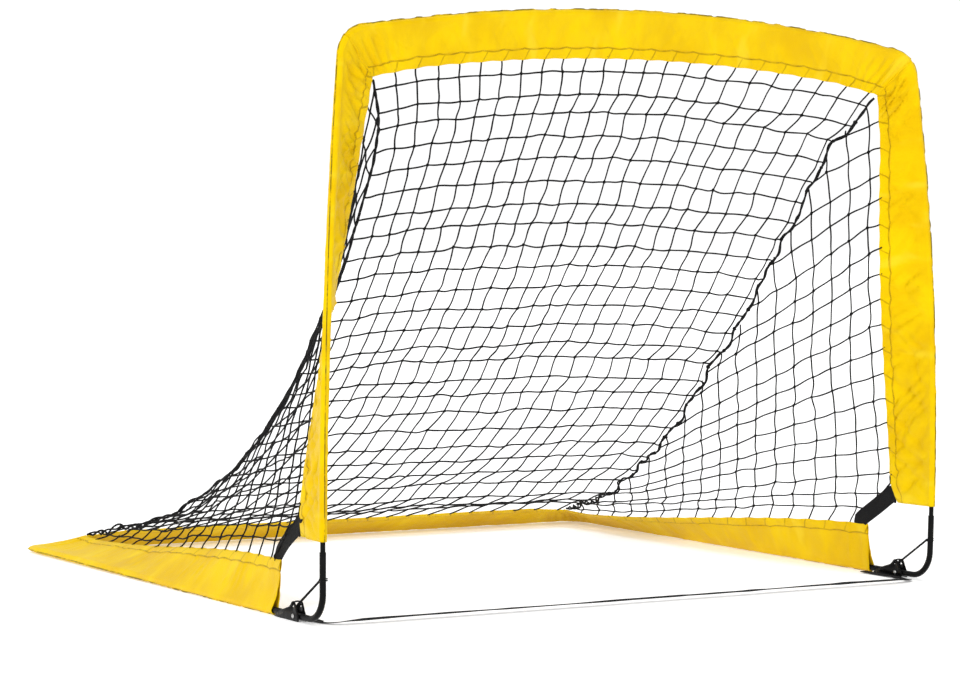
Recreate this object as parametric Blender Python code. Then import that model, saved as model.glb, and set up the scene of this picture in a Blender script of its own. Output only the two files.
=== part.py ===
"""Folding lawn-game goal: a rod frame in fabric sleeves, with a sagging net.

Metres, +Z up. The goal mouth faces -Y, the net runs back to +Y, and the ground is z = 0.
The front arch folds back over the base about a rivet in each front foot bracket.
"""

import math
from functools import cache

import bmesh
import bpy
from mathutils import Vector

# Driving dimensions of the rod centre lines.
FOOT_HALF = 0.606  # half the span between the feet
REAR_HALF = 0.608  # half the span between the rear corners
TOP_HALF = 0.567  # half the span between the top corners
DEPTH = 1.124  # arch plane to back rod
CORNER_HEIGHT = 0.916
CROWN_RISE = 0.049  # the crossbar bows up by this much
ARCH_LEAN = 0.023  # the top corners stand this far behind the feet
POST_BOW_OUT = 0.014  # the posts bow outward and forward by these at mid-height
POST_BOW_FRONT = 0.008
BEND_RADIUS = 0.045

# How finely the centre lines are divided.
FOOT_BEND_STEPS = 6
BEND_STEPS = 8
POST_STEPS = 10
BAR_STEPS = 8
SIDE_STEPS = 10
BACK_STEPS = 7

# Stock.
ROD_RADIUS = 0.004
TUBE_RADIUS = 0.0057
TUBE_BORE = 0.0043
FERRULE_RADIUS = 0.0052
FERRULE_LENGTH = 0.090
ELBOW_LEG = 0.055  # straight part of an elbow past its bend
BUTT_GAP = 0.001  # between the rods that meet in a ferrule
FIT_GAP = 0.0003

# Foot: the hinge bracket, the elbow's mouth and the base socket.
ROD_HEIGHT = 0.0077  # centre line of everything that lies on the ground
PIVOT_BACK = 0.084  # the fold's axis behind the arch plane
ELBOW_TAIL = 0.0035  # elbow past the pivot
ELBOW_MOUTH_HEIGHT = 0.105
SOCKET_START = 0.0965
SOCKET_LENGTH = 0.105
BRACKET_PLATE = 0.0014
BRACKET_FRONT = 0.071
BRACKET_REAR = 0.146
BRACKET_APEX_HEIGHT = 0.031
BRACKET_REAR_HEIGHT = 0.015
BRACKET_APEX_HALF = 0.005
BRACKET_SHOULDER = 0.001  # from the socket's mouth to the foot plate's front
HOLE_CUTTER_LENGTH = 0.03
EYELET_HEIGHT = 0.0235
EYELET_RADIUS = 0.0026
RIVET_RADIUS = 0.0018
RIVET_HOLE_RADIUS = 0.0021
RIVET_HEAD_RADIUS = 0.0038
RIVET_HEAD_HEIGHT = 0.0014
RIVET_HEAD_CROWN = 0.7  # the head's face, as a share of its radius
RIVET_HEAD_GAP = 0.0002

# Fabric sleeves: a channel round the rod and a flat band out to the net's hem.
CHANNEL_INNER = 0.0065
CHANNEL_OUTER = 0.0075
BAND_THICKNESS = 0.0024
POST_SLEEVE_BOTTOM = 0.132
CROSSBAR_BAND = 0.073
CROSSBAR_TILT = math.radians(12)  # the net draws the hem back
BASE_BAND = 0.081
BACK_RISE = math.radians(23)  # the back band's slope up to its hem
BASE_SLEEVE_START = 0.157
MITRE_GAP = 0.0014

# The post band is narrow and points inward at the top, and turns backward lower down.
POST_BAND_TOP = 0.0645
POST_BAND_GAIN = 0.0345
POST_TURN_TOP = math.radians(13.5)
POST_TURN_GAIN = math.radians(67.5)
BAND_DROP = 0.066  # top corner of the hems below the frame's corner

# The side band stands upright at the front and lies over inward at the rear corner.
SIDE_BAND = 0.079
SIDE_LIE_FRONT = math.radians(-1)
SIDE_LIE_GAIN = math.radians(74)

# Where the hems meet, inward of and behind or above the frame's corners.
TOP_CORNER_IN = 0.0625
TOP_CORNER_BACK = 0.015
REAR_CORNER_IN = 0.077
REAR_CORNER_RISE = 0.026

# Net and its seams.
NET_ROWS = 19
BACK_NET_COLUMNS = 9
SIDE_NET_COLUMNS = 7
SIDE_NET_SKIPPED = 2  # rows too short to carry a net next to the top corner
NET_THICKNESS = 0.0024
NET_INSET = 0.0065  # net edge to hem or seam cord
NET_BELOW_CROSSBAR = Vector((0.0, 0.0008, -0.0045))
NET_ABOVE_BACK = Vector((0.0, -0.0035, 0.0030))
NET_OVER_STRAP = Vector((0.0, 0.030, 0.026))  # net edge from the post band's lower corner
NET_OVER_SIDE = Vector((0.0, 0.036, 0.010))  # net edge from the side band's front corner
SIDE_NET_WIDENING = 2  # its inset grows towards the rear corner
EDGE_FADE = 1.5  # how fast a hem's bow dies out across the back net
SIDE_FADE = 3  # and across a side net
STRAP_TOP = 0.177  # the side net leaves the post's hem below this height
GATHER_REACH = 0.15  # the hems draw in to a mitre over this length
SEAM_CORD_RADIUS = 0.0022
SEAM_CORD_SHORT = 0.014  # the cord stops this far from each corner
SEAM_CORD_POINTS = 38

# Straps and cords.
STRAP_WIDTH = 0.026
STRAP_THICKNESS = 0.0016
STRAP_FROM_POST = Vector((0.0, 0.012, 0.004))
STRAP_FROM_SIDE = Vector((0.0, 0.007, 0.011))
STRAP_BOW = Vector((0.0, 0.004, 0.002))
STRAP_POINTS = 9
TAB_WIDTH = 0.020
TAB_BESIDE = 0.013  # centre line from the bracket's outer face
TAB_FRONT = 0.058
TAB_REAR = 0.155
LAID_GAP = 0.0004  # between flat webbing and the ground
GROUND_STRAP_POINTS = 61
GROUND_STRAP_WIDTH = 0.014
GROUND_STRAP_THICKNESS = 0.0012
STAY_RADIUS = 0.0016
STAY_TOP_HEIGHT = 0.074
STAY_TUBE_GAP = 0.0012
STAY_EYELET_GAP = 0.003
STAY_FORWARD = 0.004  # its lower end ahead of the pivot

# The origin lies under the middle of the goal's outer box, sleeves included.
FRONT_OVERHANG = 0.0084  # the bowed post sleeves ahead of the arch plane
REAR_OVERHANG = 0.0071  # the back sleeve behind the back rod's centre line
FRONT_Y = -(DEPTH + REAR_OVERHANG - FRONT_OVERHANG) / 2

YELLOW = (0.93, 0.66, 0.01, 1.0)
BLACK = (0.012, 0.012, 0.013, 1.0)
STEEL_BLACK = (0.02, 0.02, 0.022, 1.0)
ZINC = (0.45, 0.45, 0.46, 1.0)


# ---------------------------------------------------------------- scene and materials


def clear_scene():
    for obj in list(bpy.data.objects):
        bpy.data.objects.remove(obj, do_unlink=True)


def principled(name, colour, roughness, metallic):
    material = bpy.data.materials.new(name)
    material.use_nodes = True
    shader = material.node_tree.nodes["Principled BSDF"]
    shader.inputs["Base Color"].default_value = colour
    shader.inputs["Roughness"].default_value = roughness
    shader.inputs["Metallic"].default_value = metallic
    return material


@cache
def fabric_material():
    """The sleeves' bright woven polyester."""
    return principled("sleeve_fabric", YELLOW, 0.65, 0.0)


@cache
def rod_material():
    """Satin black fibreglass."""
    return principled("fibre_rod", BLACK, 0.45, 0.0)


@cache
def tube_material():
    """Black powder coat on steel."""
    return principled("coated_tube", STEEL_BLACK, 0.35, 0.4)


@cache
def net_material():
    """Black knotted twine."""
    return principled("net_cord", BLACK, 0.8, 0.0)


@cache
def webbing_material():
    """Black flat webbing."""
    return principled("webbing", BLACK, 0.75, 0.0)


@cache
def stay_material():
    """Matte black line."""
    return principled("stay_line", BLACK, 0.6, 0.0)


@cache
def rivet_material():
    """Zinc-plated steel."""
    return principled("rivet_steel", ZINC, 0.35, 1.0)


def empty_at(name, place):
    empty = bpy.data.objects.new(name, None)
    empty.location = place
    bpy.context.scene.collection.objects.link(empty)
    return empty


def add_object(name, data, parent, material):
    """An object whose data is in world coordinates, hung on a parent empty."""
    obj = bpy.data.objects.new(name, data)
    bpy.context.scene.collection.objects.link(obj)
    obj.parent = parent
    obj.location = -parent.location
    data.materials.append(material)
    return obj


def mesh_object(name, points, faces, parent, material, smooth=True):
    mesh = bpy.data.meshes.new(name)
    shape = bmesh.new()
    corners = [shape.verts.new(point) for point in points]
    for face in faces:
        shape.faces.new([corners[index] for index in face])
    shape.normal_update()
    bmesh.ops.recalc_face_normals(shape, faces=shape.faces)
    shape.to_mesh(mesh)
    shape.free()
    if smooth:
        mesh.shade_smooth()
        mesh.set_sharp_from_angle(angle=math.radians(40))
    return add_object(name, mesh, parent, material)


# ---------------------------------------------------------------- paths


def length_along(path):
    """The distance of each point of a path from its first point."""
    found = [0.0]
    for before, after in zip(path, path[1:]):
        found.append(found[-1] + (after - before).length)
    return found


def point_at(path, distance):
    found = length_along(path)
    for index in range(len(path) - 1):
        if distance <= found[index + 1]:
            share = (distance - found[index]) / (found[index + 1] - found[index])
            return path[index].lerp(path[index + 1], share)
    return path[-1].copy()


def cut(path, start, end):
    """The stretch of a path between two distances, with the path's own points in it."""
    margin = 0.001
    inside = [
        point.copy()
        for point, at in zip(path, length_along(path))
        if start + margin < at < end - margin
    ]
    return [point_at(path, start), *inside, point_at(path, end)]


def distance_of(path, test):
    """The distance of the first point of a path that passes a test."""
    steps = 4000
    whole = length_along(path)[-1]
    for step in range(steps + 1):
        at = whole * step / steps
        if test(point_at(path, at)):
            return at
    return whole


def distance_to(path, mark):
    """The distance along a path at which it reaches a point that lies on it."""
    near = 0.001
    return distance_of(path, lambda p: (p - mark).length < near)


def fillet(before, corner, after, radius, segments):
    """Points of the arc that rounds a corner between two straight runs."""
    towards = (corner - before).normalized()
    onwards = (after - corner).normalized()
    turn = towards.angle(onwards)
    reach = radius * math.tan(turn / 2)
    start = corner - towards * reach
    inward = (onwards - towards * onwards.dot(towards)).normalized()
    centre = start + inward * radius
    return [
        centre
        + towards * (radius * math.sin(turn * step / segments))
        - inward * (radius * math.cos(turn * step / segments))
        for step in range(segments + 1)
    ]


def straight(start, end, pieces):
    """Points between two ends, leaving both ends out."""
    return [start.lerp(end, step / pieces) for step in range(1, pieces)]


def bent(start, pull, end, share):
    """A point of the quadratic curve from start to end that leans towards pull."""
    return start.lerp(pull, share).lerp(pull.lerp(end, share), share)


def smooth_through(points, count):
    """A Catmull-Rom curve through the points, sampled evenly along its length."""
    ends = [points[0] * 2 - points[1], *points, points[-1] * 2 - points[-2]]
    fine = []
    steps = 24
    for a, b, c, d in zip(ends, ends[1:], ends[2:], ends[3:]):
        for step in range(steps):
            t = step / steps
            fine.append(
                0.5
                * (
                    2 * b
                    + (c - a) * t
                    + (2 * a - 5 * b + 4 * c - d) * t * t
                    + (3 * b - a - 3 * c + d) * t * t * t
                )
            )
    fine.append(points[-1].copy())
    whole = length_along(fine)[-1]
    return [point_at(fine, whole * step / (count - 1)) for step in range(count)]


def place(x, back, height):
    """A point from its side, its distance behind the arch plane, and its height."""
    return Vector((x, FRONT_Y + back, height))


def mirrored(points):
    return [Vector((-point.x, point.y, point.z)) for point in points]


def sided(points, side):
    """Points made for the left side (-X), turned over for the right."""
    return points if side == "left" else mirrored(points)


def foot_x(side):
    """The side of the foot's parts."""
    return -FOOT_HALF if side == "left" else FOOT_HALF


def crown(x):
    """The crossbar's centre line at x, ahead of its corner bends."""
    height = CORNER_HEIGHT + CROWN_RISE * (1 - (x / TOP_HALF) ** 2)
    return place(x, ARCH_LEAN * height / CORNER_HEIGHT, height)


def arch_path():
    """Left half of the arch: tail at the pivot, foot bend, post, top bend, crossbar middle."""
    tail = place(-FOOT_HALF, PIVOT_BACK + ELBOW_TAIL, ROD_HEIGHT)
    foot = place(-FOOT_HALF, 0.0, ROD_HEIGHT)
    top = place(-TOP_HALF, ARCH_LEAN, CORNER_HEIGHT)
    beyond_top = 0.02
    next_to_top = crown(-TOP_HALF + beyond_top)
    pull = foot.lerp(top, 0.5) + Vector((-POST_BOW_OUT, -POST_BOW_FRONT, 0.0)) * 2
    foot_bend = fillet(tail, foot, pull, BEND_RADIUS, FOOT_BEND_STEPS)
    top_bend = fillet(pull, top, next_to_top, BEND_RADIUS, BEND_STEPS)
    post = [
        bent(foot_bend[-1], pull, top_bend[0], step / POST_STEPS) for step in range(1, POST_STEPS)
    ]
    start_x = top_bend[-1].x
    bar = [crown(start_x * (1 - step / BAR_STEPS)) for step in range(1, BAR_STEPS + 1)]
    return [tail, *foot_bend, *post, *top_bend, *bar], top_bend


def base_path():
    """Left half of the base: side rod from the socket, rear bend, back rod middle."""
    front = place(-FOOT_HALF, SOCKET_START, ROD_HEIGHT)
    corner = place(-REAR_HALF, DEPTH, ROD_HEIGHT)
    middle = place(0.0, DEPTH, ROD_HEIGHT)
    bend = fillet(front, corner, middle, BEND_RADIUS, BEND_STEPS)
    side = straight(front, bend[0], SIDE_STEPS)
    back = straight(bend[-1], middle, BACK_STEPS)
    return [front, *side, *bend, *back, middle], bend


# ---------------------------------------------------------------- solids


def frames_along(path):
    """A sideways and an upward vector at each point, carried along without twist."""
    first = (path[1] - path[0]).normalized()
    up = first.orthogonal().normalized()
    found = []
    for index in range(len(path)):
        before = path[max(index - 1, 0)]
        after = path[min(index + 1, len(path) - 1)]
        ahead = (after - before).normalized()
        up = (up - ahead * up.dot(ahead)).normalized()
        found.append((ahead.cross(up), up))
    return found


def rings_along(path, radius, sides):
    """Rings of points round a path, one to each of its points."""
    points = []
    for point, (across, up) in zip(path, frames_along(path)):
        for side in range(sides):
            angle = 2 * math.pi * (side + 0.5) / sides
            points.append(point + (across * math.cos(angle) + up * math.sin(angle)) * radius)
    return points


def wall_faces(stations, sides, start):
    """Quads between neighbouring rings of points."""
    faces = []
    for station in range(stations - 1):
        low = start + station * sides
        for side in range(sides):
            beside = (side + 1) % sides
            faces.append((low + side, low + beside, low + sides + beside, low + sides + side))
    return faces


def sleeve_walls(stations, sides):
    """Quads between rings, with both faces of the flat band split along matching diagonals."""
    faces = []
    for index, (a, b, c, d) in enumerate(wall_faces(stations, sides, 0)):
        if index % sides == 0:
            faces += [(a, b, c), (a, c, d)]
        elif index % sides == sides - 2:
            faces += [(a, b, d), (b, c, d)]
        else:
            faces.append((a, b, c, d))
    return faces


def rod(name, path, radius, parent, material, sides=8):
    points = rings_along(path, radius, sides)
    faces = wall_faces(len(path), sides, 0)
    last = (len(path) - 1) * sides
    faces.append(tuple(range(sides)))
    faces.append(tuple(range(last, last + sides)))
    return mesh_object(name, points, faces, parent, material)


def tube(name, path, outer, bore, parent, material, sides=10):
    """A tube open at both ends."""
    count = len(path) * sides
    points = rings_along(path, outer, sides) + rings_along(path, bore, sides)
    faces = wall_faces(len(path), sides, 0) + wall_faces(len(path), sides, count)
    for low in (0, (len(path) - 1) * sides):
        for side in range(sides):
            beside = (side + 1) % sides
            faces.append((low + side, low + beside, count + low + beside, count + low + side))
    return mesh_object(name, points, faces, parent, material)


def sleeve(name, centres, hems, parent, material):
    """A rod channel with a flat band from the channel to the hem, open at both ends."""
    half = BAND_THICKNESS / 2
    join = math.asin(half / CHANNEL_OUTER)
    arc_steps = 8
    arc = [join + (2 * math.pi - 2 * join) * step / arc_steps for step in range(arc_steps + 1)]
    lip = join * 0.4
    inner_arc = [lip, *arc, -lip]
    outer_points = []
    inner_points = []
    for index, (centre, hem) in enumerate(zip(centres, hems)):
        before = centres[max(index - 1, 0)]
        after = centres[min(index + 1, len(centres) - 1)]
        ahead = (after - before).normalized()
        out = (hem - centre).normalized()
        face = ahead.cross(out).normalized()
        square = face.cross(ahead)
        outer_points.append(hem + face * half)
        for angle in arc:
            spoke = square * math.cos(angle) + face * math.sin(angle)
            outer_points.append(centre + spoke * CHANNEL_OUTER)
        outer_points.append(hem - face * half)
        for angle in inner_arc:
            spoke = square * math.cos(angle) + face * math.sin(angle)
            inner_points.append(centre + spoke * CHANNEL_INNER)
    sides = arc_steps + 3
    count = len(centres) * sides
    faces = sleeve_walls(len(centres), sides) + wall_faces(len(centres), sides, count)
    for low in (0, (len(centres) - 1) * sides):
        for side in range(sides):
            beside = (side + 1) % sides
            faces.append((low + side, low + beside, count + low + beside, count + low + side))
    return mesh_object(name, outer_points + inner_points, faces, parent, material)


def slab(name, rows, thickness, parent, material):
    """A closed sheet of even thickness on a grid of points."""
    height = len(rows)
    width = len(rows[0])
    points = []
    for sign in (1, -1):
        for i in range(height):
            for j in range(width):
                along = rows[i][min(j + 1, width - 1)] - rows[i][max(j - 1, 0)]
                down = rows[min(i + 1, height - 1)][j] - rows[max(i - 1, 0)][j]
                normal = along.cross(down).normalized()
                points.append(rows[i][j] + normal * (sign * thickness / 2))
    count = height * width
    faces = []
    for i in range(height - 1):
        for j in range(width - 1):
            low = i * width + j
            faces.append((low, low + 1, low + width + 1, low + width))
            faces.append(tuple(count + k for k in (low, low + width, low + width + 1, low + 1)))
    top = list(range(width))
    right = [width - 1 + i * width for i in range(1, height)]
    bottom = [(height - 1) * width + j for j in range(width - 2, -1, -1)]
    left = [i * width for i in range(height - 2, 0, -1)]
    rim = [*top, *right, *bottom, *left]
    for a, b in zip(rim, [*rim[1:], rim[0]]):
        faces.append((a, b, count + b, count + a))
    return mesh_object(name, points, faces, parent, material)


def ribbon(name, path, across, width, thickness, parent, material):
    """A flat strap along a path; across gives its width's direction at each point."""
    points = []
    for index, (point, sideways) in enumerate(zip(path, across)):
        before = path[max(index - 1, 0)]
        after = path[min(index + 1, len(path) - 1)]
        ahead = (after - before).normalized()
        side = (sideways - ahead * sideways.dot(ahead)).normalized()
        face = ahead.cross(side)
        for along, up in ((-1, -1), (1, -1), (1, 1), (-1, 1)):
            points.append(point + side * (along * width / 2) + face * (up * thickness / 2))
    last = (len(path) - 1) * 4
    faces = wall_faces(len(path), 4, 0)
    faces.append((0, 1, 2, 3))
    faces.append((last, last + 1, last + 2, last + 3))
    return mesh_object(name, points, faces, parent, material)


def cord(name, path, radius, parent, material):
    """A round cord: a curve with a bevel and filled caps."""
    curve = bpy.data.curves.new(name, "CURVE")
    curve.dimensions = "3D"
    curve.bevel_depth = radius
    curve.bevel_resolution = 2
    curve.use_fill_caps = True
    spline = curve.splines.new("POLY")
    spline.points.add(len(path) - 1)
    for point, at in zip(spline.points, path):
        point.co = (*at, 1.0)
    return add_object(name, curve, parent, material)


def cylinder_cutter(name, centre, radius):
    """A hidden cylinder along X that cuts a hole."""
    mesh = bpy.data.meshes.new(name)
    shape = bmesh.new()
    bmesh.ops.create_cone(
        shape,
        cap_ends=True,
        segments=12,
        radius1=radius,
        radius2=radius,
        depth=HOLE_CUTTER_LENGTH,
    )
    for vert in shape.verts:
        vert.co = centre + Vector((vert.co.z, vert.co.x, vert.co.y))
    shape.normal_update()
    bmesh.ops.recalc_face_normals(shape, faces=shape.faces)
    shape.to_mesh(mesh)
    shape.free()
    cutter = bpy.data.objects.new(name, mesh)
    bpy.context.scene.collection.objects.link(cutter)
    cutter.hide_render = True
    cutter.display_type = "WIRE"
    return cutter


def cut_by(obj, cutter):
    modifier = obj.modifiers.new("hole", "BOOLEAN")
    modifier.operation = "DIFFERENCE"
    modifier.solver = "EXACT"
    modifier.object = cutter


# ---------------------------------------------------------------- frame


def build_run(names, path, start, end, parent, material):
    """Two rods and the ferrule over their joint, between two distances of a path."""
    middle = (start + end) / 2
    first, second, ferrule = names
    rod(first, cut(path, start, middle - BUTT_GAP / 2), ROD_RADIUS, parent, material)
    rod(second, cut(path, middle + BUTT_GAP / 2, end), ROD_RADIUS, parent, material)
    half = FERRULE_LENGTH / 2
    sleeve_path = cut(path, middle - half, middle + half)
    tube(ferrule, sleeve_path, FERRULE_RADIUS, TUBE_BORE, parent, tube_material())


def build_arch_frame(side, path, top_bend, parent):
    """Foot elbow, post rods, top elbow and half of the crossbar's rods."""
    foot_end = distance_of(path, lambda p: p.z > ROD_HEIGHT + BEND_RADIUS)
    mouth = distance_of(path, lambda p: p.z > ELBOW_MOUTH_HEIGHT)
    bend_start = distance_to(path, top_bend[0])
    bend_end = distance_to(path, top_bend[-1])
    own = sided(path, side)
    elbow = tube(
        f"foot_elbow_{side}", cut(own, 0.0, mouth), TUBE_RADIUS, TUBE_BORE, parent, tube_material()
    )
    pivot = place(foot_x(side), PIVOT_BACK, ROD_HEIGHT)
    cut_by(elbow, cylinder_cutter(f"elbow_hole_{side}", pivot, RIVET_HOLE_RADIUS))
    build_run(
        (f"post_rod_lower_{side}", f"post_rod_upper_{side}", f"post_ferrule_{side}"),
        own,
        foot_end,
        bend_start - FIT_GAP,
        parent,
        rod_material(),
    )
    elbow_path = cut(own, bend_start - ELBOW_LEG, bend_end + ELBOW_LEG)
    tube(f"top_elbow_{side}", elbow_path, TUBE_RADIUS, TUBE_BORE, parent, tube_material())
    whole = length_along(path)[-1]
    bar = cut(own, bend_end + FIT_GAP, whole - BUTT_GAP / 2)
    rod(f"crossbar_rod_{side}", bar, ROD_RADIUS, parent, rod_material())


def build_base_frame(side, path, bend, parent):
    """Socket, side rods, rear elbow and half of the back rods."""
    own = sided(path, side)
    bend_start = distance_to(path, bend[0])
    bend_end = distance_to(path, bend[-1])
    socket_path = cut(own, 0.0, SOCKET_LENGTH)
    tube(f"base_socket_{side}", socket_path, TUBE_RADIUS, TUBE_BORE, parent, tube_material())
    rod_start = SOCKET_LENGTH - ELBOW_LEG
    build_run(
        (f"side_rod_front_{side}", f"side_rod_rear_{side}", f"side_ferrule_{side}"),
        own,
        rod_start,
        bend_start - FIT_GAP,
        parent,
        rod_material(),
    )
    elbow_path = cut(own, bend_start - ELBOW_LEG, bend_end + ELBOW_LEG)
    tube(f"rear_elbow_{side}", elbow_path, TUBE_RADIUS, TUBE_BORE, parent, tube_material())
    whole = length_along(path)[-1]
    back = cut(own, bend_end + FIT_GAP, whole - BUTT_GAP / 2)
    rod(f"back_rod_{side}", back, ROD_RADIUS, parent, rod_material())


def middle_ferrule(name, path, parent):
    """The ferrule over the joint of two mirrored half rods."""
    whole = length_along(path)[-1]
    left = cut(path, whole - FERRULE_LENGTH / 2, whole)
    right = mirrored(left[:-1])[::-1]
    tube(name, left + right, FERRULE_RADIUS, TUBE_BORE, parent, tube_material())


def build_bracket(side, parent):
    """A folded plate: a flat foot under the socket and an ear on each side of the pivot."""
    x = foot_x(side)
    near = TUBE_RADIUS + FIT_GAP
    far = near + BRACKET_PLATE
    foot_front = SOCKET_START + BRACKET_SHOULDER
    outline = [
        (BRACKET_FRONT, 0.0),
        (foot_front, 0.0),
        (BRACKET_REAR, 0.0),
        (BRACKET_REAR, BRACKET_PLATE),
        (BRACKET_REAR, BRACKET_REAR_HEIGHT),
        (PIVOT_BACK + BRACKET_APEX_HALF, BRACKET_APEX_HEIGHT),
        (PIVOT_BACK - BRACKET_APEX_HALF, BRACKET_APEX_HEIGHT),
        (BRACKET_FRONT, BRACKET_REAR_HEIGHT),
    ]
    offsets = (-far, -near, near, far)
    points = [place(x + shift, back, height) for shift in offsets for back, height in outline]
    points += [place(x + shift, foot_front, BRACKET_PLATE) for shift in (-near, near)]
    size = len(outline)
    lips = {1: 4 * size, 2: 4 * size + 1}
    faces = []
    for ring in (0, 3):
        faces.append(tuple(ring * size + k for k in range(size)))
    for ring in (1, 2):
        base = ring * size
        faces.append((base, base + 1, lips[ring], base + 3, *(base + k for k in range(4, size))))
    for first, second in ((0, 1), (2, 3)):
        for k in range(size):
            after = (k + 1) % size
            corners = (first * size + k, first * size + after)
            faces.append((*corners, second * size + after, second * size + k))
    faces.append((size + 1, size + 2, 2 * size + 2, 2 * size + 1))
    faces.append((lips[1], size + 3, 2 * size + 3, lips[2]))
    faces.append((size + 1, lips[1], lips[2], 2 * size + 1))
    faces.append((size + 2, size + 3, 2 * size + 3, 2 * size + 2))
    obj = mesh_object(f"hinge_bracket_{side}", points, faces, parent, tube_material(), smooth=False)
    holes = (("rivet", ROD_HEIGHT, RIVET_HOLE_RADIUS), ("eyelet", EYELET_HEIGHT, EYELET_RADIUS))
    for label, height, radius in holes:
        centre = place(x, PIVOT_BACK, height)
        cut_by(obj, cylinder_cutter(f"bracket_{label}_{side}", centre, radius))


def build_rivet(side, parent):
    """A rivet along X through both ears and the elbow's tail, with a head on each end."""
    x = foot_x(side)
    plate = TUBE_RADIUS + FIT_GAP + BRACKET_PLATE
    inner = plate + RIVET_HEAD_GAP
    outer = inner + RIVET_HEAD_HEIGHT
    profile = [
        (-outer, RIVET_HEAD_RADIUS * RIVET_HEAD_CROWN),
        (-inner, RIVET_HEAD_RADIUS),
        (-inner, RIVET_RADIUS),
        (inner, RIVET_RADIUS),
        (inner, RIVET_HEAD_RADIUS),
        (outer, RIVET_HEAD_RADIUS * RIVET_HEAD_CROWN),
    ]
    sides = 12
    points = []
    for shift, radius in profile:
        for step in range(sides):
            angle = 2 * math.pi * (step + 0.5) / sides
            back = PIVOT_BACK + radius * math.cos(angle)
            points.append(place(x + shift, back, ROD_HEIGHT + radius * math.sin(angle)))
    faces = wall_faces(len(profile), sides, 0)
    last = (len(profile) - 1) * sides
    faces.append(tuple(range(sides)))
    faces.append(tuple(range(last, last + sides)))
    mesh_object(f"pivot_rivet_{side}", points, faces, parent, rivet_material())


# ---------------------------------------------------------------- hem lines


def post_hem(centre):
    """The post band's edge: it points inward at the top and turns backward lower down."""
    top = CORNER_HEIGHT - BAND_DROP
    fall = min(max((top - centre.z) / (top - POST_SLEEVE_BOTTOM), 0.0), 1.0)
    eased = math.sin(fall * math.pi / 2)
    width = POST_BAND_TOP + POST_BAND_GAIN * eased
    turn = POST_TURN_TOP + POST_TURN_GAIN * (fall + eased) / 2
    return centre + Vector((width * math.cos(turn), width * math.sin(turn), 0.0))


def crossbar_hem(centre):
    """The crossbar band's edge, drawn back a little by the net."""
    direction = Vector((0.0, math.sin(CROSSBAR_TILT), -math.cos(CROSSBAR_TILT)))
    return centre + direction * CROSSBAR_BAND


def side_hem(centre):
    """The side band's edge: upright at the front, lying over towards the rear corner."""
    run = (centre.y - FRONT_Y - BASE_SLEEVE_START) / (DEPTH - BASE_BAND - BASE_SLEEVE_START)
    share = min(max(run, 0.0), 1.0)
    lie = SIDE_LIE_FRONT + SIDE_LIE_GAIN * (1 - (1 - share) ** 2)
    return centre + Vector((math.sin(lie), 0.0, math.cos(lie))) * SIDE_BAND


def back_hem(centre):
    """The back band's edge, rising forward along the net's slope."""
    return centre + Vector((0.0, -math.cos(BACK_RISE), math.sin(BACK_RISE))) * BASE_BAND


def top_corner():
    """Where the crossbar's and the left post's hems meet."""
    return place(-TOP_HALF + TOP_CORNER_IN, ARCH_LEAN + TOP_CORNER_BACK, CORNER_HEIGHT - BAND_DROP)


def rear_corner():
    """Where the left side's and the back's hems meet."""
    return place(
        -REAR_HALF + REAR_CORNER_IN, DEPTH - REAR_CORNER_IN, ROD_HEIGHT + REAR_CORNER_RISE
    )


def gathered_hems(path, rule, corner, lead):
    """Hem points for a centre line that starts at a mitre, drawn together at the corner point.

    lead is how far along the path the hem starts.
    """
    offset = corner - rule(point_at(path, lead))
    found = []
    for at in length_along(path):
        share = min(at / GATHER_REACH, 1.0)
        hem_at = max(at, lead + (GATHER_REACH - lead) * share)
        found.append(rule(point_at(path, hem_at)) + offset * (1 - share))
    return found


def seam_curve(count):
    """The left seam between the back net and the side net, sagging under its own weight."""
    top = top_corner()
    bottom = rear_corner()
    route = [
        top,
        place(-0.479, 0.072, 0.785),
        place(-0.453, 0.150, 0.675),
        place(-0.436, 0.270, 0.517),
        place(-0.432, 0.420, 0.352),
        place(-0.445, 0.600, 0.205),
        place(-0.480, 0.810, 0.095),
        bottom,
    ]
    return smooth_through(route, count)


# ---------------------------------------------------------------- sleeves, net and straps


def mitre_distance(path, bend):
    """How far along its path the middle of a bend lies."""
    return distance_to(path, bend[len(bend) // 2])


def arch_lines(path, bend):
    """Centre and hem points of the left post and of the crossbar's left half."""
    mitre = mitre_distance(path, bend)
    bottom = distance_of(path, lambda p: p.z > POST_SLEEVE_BOTTOM)
    down = cut(path, bottom, mitre - MITRE_GAP)[::-1]
    along = cut(path, mitre + MITRE_GAP, length_along(path)[-1])
    corner = top_corner()
    post_lead = distance_of(down, lambda p: p.z < corner.z)
    bar_lead = distance_of(along, lambda p: p.x > corner.x)
    gap_down = Vector((-MITRE_GAP, 0.0, -MITRE_GAP))
    post = gathered_hems(down, post_hem, corner + gap_down, post_lead)
    bar = gathered_hems(along, crossbar_hem, corner - gap_down, bar_lead)
    return (down, post), (along, bar)


def base_lines(path, bend):
    """Centre and hem points of the left side band and of the back band's left half."""
    mitre = mitre_distance(path, bend)
    front = BASE_SLEEVE_START - SOCKET_START
    forward = cut(path, front, mitre - MITRE_GAP)[::-1]
    along = cut(path, mitre + MITRE_GAP, length_along(path)[-1])
    corner = rear_corner()
    side_lead = distance_of(forward, lambda p: p.y < corner.y)
    back_lead = distance_of(along, lambda p: p.x > corner.x)
    gap = Vector((-MITRE_GAP, -MITRE_GAP, 0.0))
    side = gathered_hems(forward, side_hem, corner + gap, side_lead)
    back = gathered_hems(along, back_hem, corner - gap, back_lead)
    return (forward, side), (along, back)


def whole_line(half):
    """A half line from the left mitre to the middle, carried on to the right mitre."""
    return half + mirrored(half[:-1])[::-1]


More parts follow.
